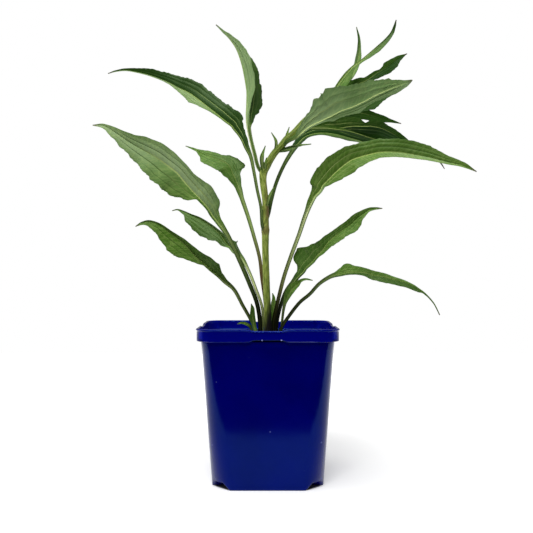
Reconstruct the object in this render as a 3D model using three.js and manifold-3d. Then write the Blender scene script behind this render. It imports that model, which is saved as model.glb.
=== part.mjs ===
// Purple coneflower plant, leafy and not yet in bloom, in a square blue nursery pot.
// Millimetres, +Z up, origin at the middle of the pot's underside.
import * as THREE from 'three';
import { mergeVertices } from 'three/addons/utils/BufferGeometryUtils.js';
import Module from 'manifold-3d';

const wasm = await Module();
wasm.setup();

// ---------------------------------------------------------------- driving sizes

const POT = {
  height: 126,
  lipWidth: 111.5,
  lipHeight: 2.6,
  skirtWidth: 110.4,
  skirtHeight: 9.8,
  bodyTopWidth: 104,
  baseWidth: 89,
  wall: 1.3,
  topCorner: 12.5,
  baseCorner: 18,
  brokenEdge: 0.5, // how far the edges of the lip and skirt are eased
  dipDepth: 1.3, // the dip in the middle of each side of the lip
  skirtNotch: 1.5, // the notch in the middle of each side of the skirt
  shoulder: [1.2, 4.2], // where the inner wall steps out, above the skirt's lower edge
  footWidth: 59,
  footRise: 5.5,
  footSlant: 5.5,
  drainRadius: 5,
  drainPlace: 27,
  ribPlace: 7.4,
  ribSize: [1.6, 1.6, 2.4],
  ribSunk: 0.6,
};

const SOIL = { level: 110, bump: 1.1, mound: 1.6, rings: [0.86, 0.68, 0.5, 0.32, 0.14], seed: 11 };
const GAP = 0.3; // clearance between neighbours that touch
const MARGIN = 10; // how far a cutting shape reaches past what it cuts
const ROUND_SIDES = 14; // sides of a round hole

// A stem or petiole stands in a plain round hole in the soil.
const ROOT = { bottom: 98, holeTop: 120, widest: 1.15, room: 0.45 };

const STEM = { baseRadius: 3.1, forkRadius: 2.9, tipRadius: 1.3, sides: 10, step: 7 };

// A petiole's section, as shares of its half-width, and the spacing of its rings.
const PETIOLE = { step: 15, above: 0.35, belowEdge: 0.35, belowMiddle: 0.75, roundness: 0.85 };

const BLADE = {
  thickness: 0.8,
  rib: 1.5, // depth of the midrib under the foot of the blade
  ribTaper: 0.75, // share of that depth lost by the tip
  ribReach: 0.45, // how far out the midrib's flanks end, as a share of a half-width
  columns: [-1, -0.45, 0, 0.45, 1], // places across the blade, as shares of its half-widths
  narrowColumns: [-1, 0, 1],
  easing: 0.18, // how much a half lies back towards its margin
  wave: 1.1,
  waveLength: 56,
  wavePhases: [1, 3.4], // left and right margin
  fullWaveWidth: 14, // half-width from which the margin waves fully
  toothPitch: 11.5,
  toothDepth: 1.2,
  toothSpread: [0.6, 1.4], // the least and most that one tooth's depth is multiplied by
  toothWidths: [2, 8], // half-widths between which the teeth grow to full depth
};

// One tooth on each margin: [share of the pitch, left depth, right depth].
const TOOTH = [[0, 0, 0.3], [0.52, 0.6, 1], [0.8, 1, 0]];

const SEEDS = { basal: 1, stem: 31, young: 90 };

// ---------------------------------------------------------------- small helpers

function seededRandom(seed) {
  let state = seed;
  return () => {
    state = (state * 1664525 + 1013904223) % 4294967296;
    return state / 4294967296;
  };
}

const point = (x, y, z) => new THREE.Vector3(x, y, z);

// 0 up to the first number, 1 from the second, and even in between.
const ramp = (value, from, to) => THREE.MathUtils.clamp((value - from) / (to - from), 0, 1);

// The two values on either side of a place in an evenly spread list, and the way between them.
function between(list, share) {
  const place = share * (list.length - 1);
  const index = Math.max(0, Math.min(Math.floor(place), list.length - 2));
  return [list[index], list[index + 1] ?? list[index], place - index];
}

// A closed mesh through rings that all have the same even number of points.
// The first and last ring are capped by strips from one half of the ring to the other.
function loft(rings) {
  const count = rings[0].length;
  const corners = rings.flat();
  const faces = [];
  for (let r = 0; r + 1 < rings.length; r++) {
    for (let i = 0; i < count; i++) {
      const a = r * count + i;
      const b = r * count + (i + 1) % count;
      faces.push(a, b, b + count, a, b + count, a + count);
    }
  }
  const last = (rings.length - 1) * count;
  for (let i = 0; i + 1 < count / 2; i++) {
    const j = count - 1 - i;
    faces.push(i, j, j - 1, i, j - 1, i + 1);
    faces.push(last + i, last + j - 1, last + j, last + i, last + i + 1, last + j - 1);
  }
  const geometry = new THREE.BufferGeometry().setFromPoints(corners);
  geometry.setIndex(faces);
  return geometry;
}

function solid(geometry) {
  const bare = geometry.clone();
  bare.deleteAttribute('normal');
  bare.deleteAttribute('uv');
  const merged = mergeVertices(bare, 1e-4);
  return new wasm.Manifold(new wasm.Mesh({
    numProp: 3,
    vertProperties: new Float32Array(merged.attributes.position.array),
    triVerts: new Uint32Array(merged.index.array),
  }));
}

function meshOf(name, made, material) {
  const result = made.getMesh();
  const geometry = new THREE.BufferGeometry();
  geometry.setAttribute('position', new THREE.BufferAttribute(result.vertProperties, 3));
  geometry.setIndex(new THREE.BufferAttribute(result.triVerts, 1));
  geometry.computeVertexNormals();
  const mesh = new THREE.Mesh(geometry, material);
  mesh.name = name;
  return mesh;
}

const block = (width, depth, height, x, y, z) =>
  solid(new THREE.BoxGeometry(width, depth, height).translate(x, y, z));

const upright = (radius, bottom, top, x, y) =>
  solid(new THREE.CylinderGeometry(radius, radius, top - bottom, ROUND_SIDES)
    .rotateX(Math.PI / 2)
    .translate(x, y, (top + bottom) / 2));

// ---------------------------------------------------------------- the pot

const SIDE_STEPS = [-0.66, -0.37, -0.25, -0.12, 0.12, 0.25, 0.37, 0.66];
const CORNER_STEPS = 5;
const MIDDLE = 0.3; // share of a side's straight run, from its middle, that a dip takes up

// A ring round a rounded square, anticlockwise from above.
// lift raises the ring by that much in the middle of each side.
function squareRing(width, corner, z, lift = 0) {
  const half = width / 2;
  const run = half - corner;
  const ring = [];
  for (let side = 0; side < 4; side++) {
    const turn = side * Math.PI / 2;
    const outline = SIDE_STEPS.map((step) =>
      [half, step * run, Math.abs(step) < MIDDLE ? z + lift : z]);
    for (let i = 0; i < CORNER_STEPS; i++) {
      const angle = i / (CORNER_STEPS - 1) * Math.PI / 2;
      outline.push([run + corner * Math.cos(angle), run + corner * Math.sin(angle), z]);
    }
    for (const [x, y, level] of outline) {
      ring.push(point(x, y, level).applyAxisAngle(point(0, 0, 1), turn));
    }
  }
  return ring;
}

function potOutside() {
  const { height, lipWidth, skirtWidth, topCorner, dipDepth, skirtNotch } = POT;
  const edge = POT.brokenEdge;
  const skirtFoot = height - POT.skirtHeight;
  const lipFoot = height - POT.lipHeight;
  return solid(loft([
    squareRing(POT.baseWidth, POT.baseCorner, 0),
    squareRing(POT.bodyTopWidth, topCorner, skirtFoot - edge, skirtNotch),
    squareRing(skirtWidth - 3 * edge, topCorner, skirtFoot, skirtNotch),
    squareRing(skirtWidth, topCorner, skirtFoot + 2 * edge, skirtNotch),
    squareRing(skirtWidth, topCorner, lipFoot - edge),
    squareRing(lipWidth - edge, topCorner, lipFoot),
    squareRing(lipWidth, topCorner, lipFoot + edge),
    squareRing(lipWidth, topCorner, height - edge, -dipDepth),
    squareRing(lipWidth - 2 * edge, topCorner, height, -dipDepth),
  ]));
}

// The space inside the walls, drawn in by gap all round.
function potInside(gap) {
  const inset = 2 * (POT.wall + gap);
  const corner = POT.topCorner - POT.wall;
  const [stepFoot, stepTop] = POT.shoulder.map((rise) => POT.height - POT.skirtHeight + rise);
  return solid(loft([
    squareRing(POT.baseWidth - inset, POT.baseCorner - POT.wall, POT.wall + gap),
    squareRing(POT.bodyTopWidth - inset, corner, stepFoot),
    squareRing(POT.skirtWidth - inset, corner, stepTop),
    squareRing(POT.skirtWidth - inset, corner, POT.height + MARGIN),
  ]));
}

// The cross-shaped foot with slanted flanks, with everything above it.
function crossFoot(inset) {
  const long = POT.lipWidth + MARGIN;
  const high = POT.height + MARGIN;
  const bottom = POT.footWidth / 2 - inset;
  const top = bottom + POT.footSlant;
  const bars = [0, Math.PI / 2].map((turn) => {
    const profile = new THREE.Shape([
      new THREE.Vector2(-bottom, inset),
      new THREE.Vector2(bottom, inset),
      new THREE.Vector2(top, POT.footRise + inset),
      new THREE.Vector2(top, POT.footRise + inset + 1),
      new THREE.Vector2(-top, POT.footRise + inset + 1),
      new THREE.Vector2(-top, POT.footRise + inset),
    ]);
    return solid(new THREE.ExtrudeGeometry(profile, { depth: long, bevelEnabled: false })
      .translate(0, 0, -long / 2)
      .rotateX(Math.PI / 2)
      .rotateZ(turn));
  });
  const above = block(long, long, high, 0, 0, POT.footRise + inset + high / 2);
  return bars[0].add(bars[1]).add(above);
}

function buildPot() {
  const cavity = potInside(0).intersect(crossFoot(POT.wall));
  let pot = potOutside().intersect(crossFoot(0));
  const [ribWidth, ribDepth, ribHeight] = POT.ribSize;
  const face = POT.bodyTopWidth / 2 + ribDepth / 2 - POT.ribSunk;
  const level = POT.height - POT.skirtHeight + POT.skirtNotch - ribHeight / 2;
  for (let side = 0; side < 4; side++) {
    for (const place of [-POT.ribPlace, POT.ribPlace]) {
      const rib = new THREE.BoxGeometry(ribDepth, ribWidth, ribHeight);
      rib.translate(face, place, level).rotateZ(side * Math.PI / 2);
      pot = pot.add(solid(rib));
    }
  }
  pot = pot.subtract(cavity);
  for (const x of [-POT.drainPlace, POT.drainPlace]) {
    for (const y of [-POT.drainPlace, POT.drainPlace]) {
      pot = pot.subtract(upright(POT.drainRadius, 0, POT.footRise + MARGIN, x, y));
    }
  }
  return pot;
}

// ---------------------------------------------------------------- the potting soil

// holes lists [x, y, radius] for every stem and petiole that stands in the soil.
function buildSoil(holes) {
  const random = seededRandom(SOIL.seed);
  const wide = POT.lipWidth + MARGIN;
  const rings = [squareRing(wide, POT.topCorner, -1), squareRing(wide, POT.topCorner, SOIL.level)];
  for (const share of SOIL.rings) {
    const ring = squareRing(wide * share, POT.topCorner * share, SOIL.level);
    ring.forEach((corner) => {
      corner.z += SOIL.bump * (random() - 0.5) + SOIL.mound * (1 - share) ** 2;
    });
    rings.push(ring);
  }
  let soil = solid(loft(rings)).intersect(potInside(GAP).intersect(crossFoot(POT.wall + GAP)));
  for (const [x, y, radius] of holes) {
    soil = soil.subtract(upright(radius, ROOT.bottom - 1, ROOT.holeTop, x, y));
  }
  return soil;
}

// ---------------------------------------------------------------- curves along stems and leaves

// A smooth curve through rows of numbers. The first three are a place, the rest ride along.
function curveThrough(rows) {
  const distance = [0];
  for (let i = 1; i < rows.length; i++) {
    const step = point(...rows[i]).distanceTo(point(...rows[i - 1]));
    distance.push(distance[i - 1] + step);
  }
  const last = rows.length - 1;
  const slope = (i, k) => {
    const before = Math.max(i - 1, 0);
    const after = Math.min(i + 1, last);
    return (rows[after][k] - rows[before][k]) / (distance[after] - distance[before]);
  };
  const at = (s) => {
    let i = 0;
    while (i < last - 1 && s > distance[i + 1]) i++;
    const span = distance[i + 1] - distance[i];
    const t = Math.min(Math.max((s - distance[i]) / span, 0), 1);
    return rows[i].map((from, k) => {
      const to = rows[i + 1][k];
      const ease = t * t * (3 - 2 * t);
      if (k > 2) return from + (to - from) * (0.5 * t + 0.5 * ease);
      const bend = t * (1 - t) * span * ((1 - t) * slope(i, k) - t * slope(i + 1, k));
      return from + (to - from) * ease + bend;
    });
  };
  return { at, distance, length: distance[last] };
}

function directionAt(curve, s, look = 0.5) {
  const ahead = point(...curve.at(Math.min(s + look, curve.length)));
  const behind = point(...curve.at(Math.max(s - look, 0)));
  return ahead.sub(behind).normalize();
}

// A round tube through rows of [x, y, z, radius], thicker by extra all round.
function roundTube(rows, sides, step, extra = 0) {
  const curve = curveThrough(rows);
  const count = Math.max(2, Math.round(curve.length / step));
  const rings = [];
  for (let i = 0; i <= count; i++) {
    const s = curve.length * i / count;
    const [x, y, z, radius] = curve.at(s);
    const along = directionAt(curve, s);
    const across = point(0, 1, 0).cross(along).normalize();
    const up = along.clone().cross(across);
    const ring = [];
    for (let j = 0; j < sides; j++) {
      const angle = j / sides * 2 * Math.PI;
      ring.push(point(x, y, z)
        .addScaledVector(across, (radius + extra) * Math.cos(angle))
        .addScaledVector(up, (radius + extra) * Math.sin(angle)));
    }
    rings.push(ring);
  }
  return solid(loft(rings));
}

// ---------------------------------------------------------------- leaves

// Where the rings of a leaf lie along it, and how far a tooth widens each side there.
function leafStations(leaf, bladeStart, length) {
  const random = seededRandom(leaf.seed);
  const [least, most] = BLADE.toothSpread;
  const stations = [];
  const petioleSteps = Math.max(2, Math.round(bladeStart / PETIOLE.step));
  for (let i = 0; i < petioleSteps; i++) {
    stations.push({ s: bladeStart * i / petioleSteps, left: 0, right: 0 });
  }
  const bladeLength = length - bladeStart;
  const count = Math.max(3, Math.round(bladeLength / (leaf.pitch ?? BLADE.toothPitch)));
  for (let i = 0; i < count; i++) {
    const depth = BLADE.toothDepth * (leaf.teeth ?? 1) * (least + (most - least) * random());
    for (const [share, left, right] of TOOTH) {
      const s = bladeStart + bladeLength * (i + share) / count;
      stations.push({ s, left: left * depth, right: right * depth });
    }
  }
  stations.push({ s: length, left: 0, right: 0 });
  return stations;
}

// A leaf is one closed skin from the foot of its petiole to its tip.
//   rows    [x, y, z, left, right]: the midrib, and the blade's half-widths on its two sides
//   face    where the upper face looks, from the foot to the tip
//   fold    angle in degrees that each half rises from the midrib, one or several to the tip
//   bladeAt the row where the blade starts
//   teeth   how strongly the margin is toothed, 1 for a large leaf
function leafRings(leaf) {
  const curve = curveThrough(leaf.rows);
  const bladeStart = curve.distance[leaf.bladeAt];
  const petiole = leaf.rows[1][3];
  const columns = leaf.narrow ? BLADE.narrowColumns : BLADE.columns;
  const faces = leaf.face.map((direction) => point(...direction).normalize());
  const folds = [leaf.fold].flat();
  return leafStations(leaf, bladeStart, curve.length).map(({ s, left, right }) => {
    const [x, y, z, leftWidth, rightWidth] = curve.at(s);
    const along = directionAt(curve, s);
    const share = s / curve.length;
    const [before, after, part] = between(faces, share);
    const face = before.clone().lerp(after, part);
    face.addScaledVector(along, -face.dot(along)).normalize();
    const toRight = along.clone().cross(face);
    const [flatter, steeper, mix] = between(folds, share);
    const fold = THREE.MathUtils.degToRad(THREE.MathUtils.lerp(flatter, steeper, mix));
    const inBlade = ramp(s, bladeStart, curve.length);
    const ribAtMiddle = BLADE.rib * (1 - BLADE.ribTaper * inBlade);
    const upper = [];
    const lower = [];
    for (const column of columns) {
      const out = Math.abs(column);
      const base = column < 0 ? leftWidth : rightWidth;
      const tooth = (column < 0 ? left : right) * ramp(base, ...BLADE.toothWidths);
      const width = (base + tooth) * out;
      const spread = ramp(base, petiole, 3 * petiole);
      const phase = BLADE.wavePhases[column < 0 ? 0 : 1];
      const wave = BLADE.wave * out ** 2 * ramp(base, 0, BLADE.fullWaveWidth) * spread
        * Math.sin(2 * Math.PI * s / BLADE.waveLength + phase);
      const rise = Math.sin(fold) * width * (1 - BLADE.easing * out) + wave;
      const place = point(x, y, z)
        .addScaledVector(toRight, Math.sign(column) * Math.cos(fold) * width)
        .addScaledVector(face, rise);
      const round = Math.sqrt(1 - PETIOLE.roundness * out ** 2);
      const stalkAbove = petiole * PETIOLE.above * round;
      const stalkBelow = petiole * (PETIOLE.belowEdge + PETIOLE.belowMiddle * round);
      const bladeBelow = BLADE.thickness / Math.cos(fold)
        + ribAtMiddle * ramp(out, BLADE.ribReach, 0);
      const above = THREE.MathUtils.lerp(stalkAbove, 0, spread);
      const below = THREE.MathUtils.lerp(stalkBelow, bladeBelow, Math.max(spread, inBlade));
      upper.push(place.clone().addScaledVector(face, above));
      lower.push(place.clone().addScaledVector(face, -below));
    }
    return [...upper, ...lower.reverse()];
  });
}

const leafSolid = (leaf) => solid(loft(leafRings(leaf)));

// Leaves that rise from the crown, each in its own hole in the soil.
const BASAL_LEAVES = [
  {
    name: 'basal_leaf_left_large',
    face: [[0.1, -0.95, 0.3], [0.1, -0.98, 0.14]],
    fold: 14,
    bladeAt: 7,
    rows: [
      [-6.5, -3, 98, 1.7, 1.7], [-6.5, -3, 112, 1.7, 1.7], [-6.5, -4, 128, 1.8, 1.8],
      [-9, -6, 144, 1.8, 1.8], [-15, -9, 160, 1.8, 1.8], [-23, -13, 179, 1.8, 1.8],
      [-29, -16, 192, 1.8, 1.9], [-34.5, -19, 202, 1.8, 2.4], [-40.5, -21, 210, 1.8, 3.8],
      [-45, -23, 216, 2, 6.6], [-48, -25, 221, 1.9, 11.6], [-55, -29, 229, 2.3, 13.4],
      [-59, -30, 233, 8.5, 12.3], [-66, -33, 241, 16.5, 10], [-72, -36, 248, 19, 10.3],
      [-80, -39, 254, 18, 12], [-87, -42, 259, 16.4, 11.8], [-98, -45, 265, 11.7, 10],
      [-107, -48, 270, 7.9, 6.4], [-116, -51, 276, 5.2, 3.8], [-125, -53, 281, 2.4, 1.6],
      [-133, -55, 281, 0.4, 0.4],
    ],
  },
  {
    name: 'basal_leaf_left_low',
    face: [[-0.1, -0.95, 0.1], [-0.19, -0.95, -0.25]],
    fold: 36,
    bladeAt: 6,
    rows: [
      [-9.5, -7, 98, 1.6, 1.6], [-9.5, -7, 112, 1.6, 1.6], [-11, -8.5, 124, 1.6, 1.6],
      [-14.5, -10, 131.5, 1.6, 1.6], [-20.5, -14, 142.5, 1.6, 1.7], [-27.5, -18, 155.5, 1.6, 2],
      [-34.5, -21, 161.5, 1.6, 3.4], [-39.5, -24, 166.5, 1.6, 5.2], [-46, -27, 172, 1.6, 11.7],
      [-50, -29, 176, 1.8, 10.6], [-55, -31, 180, 4.3, 9], [-59, -32, 184, 7.2, 7.7],
      [-66, -35, 192, 13, 4.8], [-72, -37, 197, 12.6, 3.5], [-76, -38, 200, 11, 2.8],
      [-84, -40, 206, 7.6, 2.2], [-92, -41, 209, 5, 1.6], [-98, -42, 208, 2.2, 1],
      [-103, -42, 205, 0.4, 0.4],
    ],
  },
  {
    name: 'basal_leaf_left_small',
    face: [[0, -0.95, 0.1], [-0.19, -0.93, -0.3]],
    fold: 38,
    bladeAt: 6,
    rows: [
      [-5.5, 3.5, 98, 1.4, 1.4], [-5.5, 3.5, 112, 1.4, 1.4], [-4, 5, 129, 1.5, 1.5],
      [-5, 8, 141, 1.5, 1.5], [-10, 13, 155, 1.5, 1.6], [-17, 20, 172, 1.6, 1.8],
      [-24, 26, 184, 1.7, 3], [-30, 29, 188, 1.7, 14], [-33, 31, 192, 2, 9],
      [-38, 34, 197, 5.5, 5], [-41, 36, 202, 8.8, 4.1], [-46, 38, 207, 12, 3.4],
      [-52, 40, 212, 14, 2.8], [-61, 43, 218, 13.4, 2.3], [-70, 45, 222, 8.5, 1.7],
      [-75, 46, 224.5, 3, 1.3], [-82, 48, 227, 0.8, 0.9], [-87, 48, 226, 0.5, 0.5],
    ],
  },
  {
    name: 'basal_leaf_left_inner',
    face: [[0.3, -0.9, 0.2], [0.1, -0.9, 0.4]],
    fold: 14,
    bladeAt: 8,
    rows: [
      [-1.5, 8, 98, 1.4, 1.4], [-1.5, 8, 112, 1.4, 1.4], [-2, 8, 142, 1.5, 1.4],
      [-5, 10, 165, 1.5, 1.4], [-7, 12, 182, 1.5, 1.4], [-12, 15, 201, 1.6, 1.5],
      [-17, 18, 218, 1.8, 1.6], [-22, 20, 233, 2.1, 1.7], [-25.5, 21.5, 244, 3.4, 2.8],
      [-29, 23, 253, 6.7, 5.3], [-31, 24, 257, 9.7, 8.9], [-32, 24.5, 260, 11.5, 12.5],
      [-34, 25, 263.5, 13, 9.8], [-37, 26, 266, 12.9, 7.7], [-43, 27, 269, 11.8, 5.1],
      [-51, 29, 272, 10, 4.9], [-55, 30, 273.5, 9, 4.6], [-58, 30.5, 275, 4.3, 3.3],
      [-63, 31, 278, 1.6, 1.2], [-73, 33, 282, 0.4, 0.4],
    ],
  },
  {
    name: 'basal_leaf_right_large',
    face: [[-0.2, -0.95, 0.2], [0, -0.95, 0.28]],
    fold: 24,
    bladeAt: 7,
    rows: [
      [5, 3.5, 98, 1.6, 1.6], [5, 3.5, 112, 1.6, 1.6], [5, 3, 128, 1.7, 1.7],
      [7.5, 1, 141, 1.7, 1.7], [13, -4, 164, 1.7, 1.7], [18.5, -9, 181, 1.7, 1.7],
      [25.5, -14, 200, 1.8, 1.7], [31.5, -19, 217, 2.4, 1.6], [37.5, -23, 230, 4.3, 1.8],
      [42, -25, 235, 8.5, 2], [44, -26, 239, 11.5, 2.6], [48, -28, 243, 13, 5.4],
      [54, -30, 249, 12.9, 9], [60, -32, 254, 12.4, 10.8], [66, -34, 258, 11.3, 12],
      [72, -36, 260, 10.8, 9.9], [81, -39, 262, 11, 7.6], [89, -42, 263, 10.4, 6.4],
      [102, -46, 262, 10, 5.4], [111, -49, 260, 9.8, 4.4], [123, -53, 257, 7.9, 3.6],
      [136, -56, 253, 4.8, 2.8], [147, -58, 250, 2.8, 2], [157, -60, 245, 0.4, 0.4],
    ],
  },
  {
    name: 'basal_leaf_right_mid',
    face: [[-0.35, -0.75, 0.5], [-0.45, -0.62, 0.64], [-0.1, -0.95, 0.15]],
    fold: 26,
    bladeAt: 5,
    rows: [
      [6.5, -3, 98, 1.6, 1.6], [6.5, -3, 112, 1.6, 1.6], [8, -5, 130, 1.6, 1.6],
      [11, -8, 143, 1.6, 1.7], [15, -11, 154, 1.7, 1.8], [20, -13, 160, 2.6, 2.2],
      [26, -16, 167, 4.5, 2.8], [29, -17, 170, 9.6, 3.2], [31, -18, 173, 18, 3.6],
      [33, -19, 175, 21, 4], [37, -21, 179, 17, 4.2], [40, -23, 183, 12, 4.4],
      [44, -25, 187, 9.1, 5], [48, -27, 193, 6.2, 7], [52, -29, 197, 4.8, 8.6],
      [58, -32, 202, 4.4, 8.6], [65, -35, 207, 4.6, 9], [70, -37, 212, 4.2, 8.6],
      [74, -39, 215, 3.1, 4.2], [79, -41, 218, 2, 1.8], [84, -42, 219, 1.2, 1.2],
      [89, -43, 219, 0.4, 0.4],
    ],
  },
  {
    name: 'basal_leaf_right_low',
    face: [[-0.3, -0.8, 0.5], [0, -0.85, 0.5], [0.1, -0.9, 0.4]],
    fold: 28,
    bladeAt: 7,
    rows: [
      [10, -7.5, 98, 1.5, 1.5], [10, -7.5, 112, 1.5, 1.5], [11, -9, 123, 1.5, 1.5],
      [17, -13, 133, 1.5, 1.5], [26, -18, 145, 1.5, 1.5], [34, -22, 152, 1.5, 1.5],
      [41, -26, 160, 1.5, 1.6], [48, -30, 165, 1.8, 2], [53, -33, 167, 2.5, 2.1],
      [58, -35, 168, 5.5, 2.3], [62, -37, 169, 7.7, 2.6], [69, -40, 169.5, 4.9, 3],
      [75, -43, 169, 3.8, 3.8], [82, -45, 167, 3.6, 5.4], [89, -48, 166, 3, 7],
      [96, -50, 164, 2.4, 6.4], [103, -52, 162, 2, 6.1], [110, -54, 159, 1.5, 4.9],
      [115, -55, 156, 1, 3.6], [118, -56, 154, 0.7, 1.3], [122, -57, 150, 0.6, 0.7],
      [126, -57, 145, 0.5, 0.6], [130, -57, 137, 0.4, 0.4],
    ],
  },
  {
    name: 'crown_leaf_lance',
    face: [[0.1, -0.98, 0.1], [0.1, -0.98, 0.1]],
    fold: 20,
    bladeAt: 2,
    narrow: true,
    teeth: 0,
    rows: [
      [-7, -12.5, 98, 1, 1], [-7, -12.5, 112, 1, 1], [-9, -13.5, 119, 1.3, 1.3],
      [-11, -14.5, 125, 1.9, 1.8], [-12, -15.5, 130, 2.4, 2.3], [-12.5, -16, 135, 2.3, 2.2],
      [-12.5, -16.5, 140, 1.6, 1.5], [-13.5, -17, 144, 0.4, 0.4],
    ],
  },
  {
    name: 'crown_leaf_right_small',
    face: [[-0.2, -0.9, 0.2], [-0.2, -0.9, 0.2]],
    fold: 20,
    bladeAt: 2,
    narrow: true,
    teeth: 0,
    rows: [
      [3, 9, 98, 1, 1], [3, 9, 112, 1, 1], [3.5, 8.5, 122, 1.2, 1.2], [4.5, 8.5, 130, 2, 2],
      [5, 8.5, 136, 2.5, 2.5], [5, 8.5, 143, 2.4, 2.5], [5, 8.5, 148, 1.4, 1.5],
      [4, 9, 152, 0.4, 0.4],
    ],
  },
  {
    name: 'crown_leaf_curled',
    face: [[-0.5, -0.8, 0.3], [-0.5, -0.7, 0.5], [-0.2, -0.9, 0.3]],
    fold: 22,
    bladeAt: 3,
    narrow: true,
    teeth: 0,
    rows: [
      [11, -2, 98, 1, 1], [11, -2, 112, 1, 1], [12, -7, 130, 1.1, 1.2], [14, -13, 143, 1.8, 1.6],
      [17, -17, 151, 3.7, 3.4], [20, -19, 156, 4, 4], [24, -21, 160, 2.9, 3],
      [27, -23, 163, 1.3, 1.6], [31, -24, 164, 0.9, 1], [36, -25, 163, 0.4, 0.4],
    ],
  },
  {
    name: 'crown_leaf_thin_low',
    face: [[0, -0.9, 0.4], [0, -0.9, 0.5]],
    fold: 12,
    bladeAt: 2,
    narrow: true,
    teeth: 0,
    rows: [
      [-13, -3, 98, 0.9, 0.9], [-13, -3, 112, 0.9, 0.9], [-13.5, -4, 121, 1, 1],
      [-15, -6, 125, 1.5, 1.3], [-18, -8, 127, 1.6, 1.3], [-22, -10, 128, 1.1, 0.9],
      [-25, -12, 127, 0.4, 0.4],
    ],
  },
];

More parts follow.
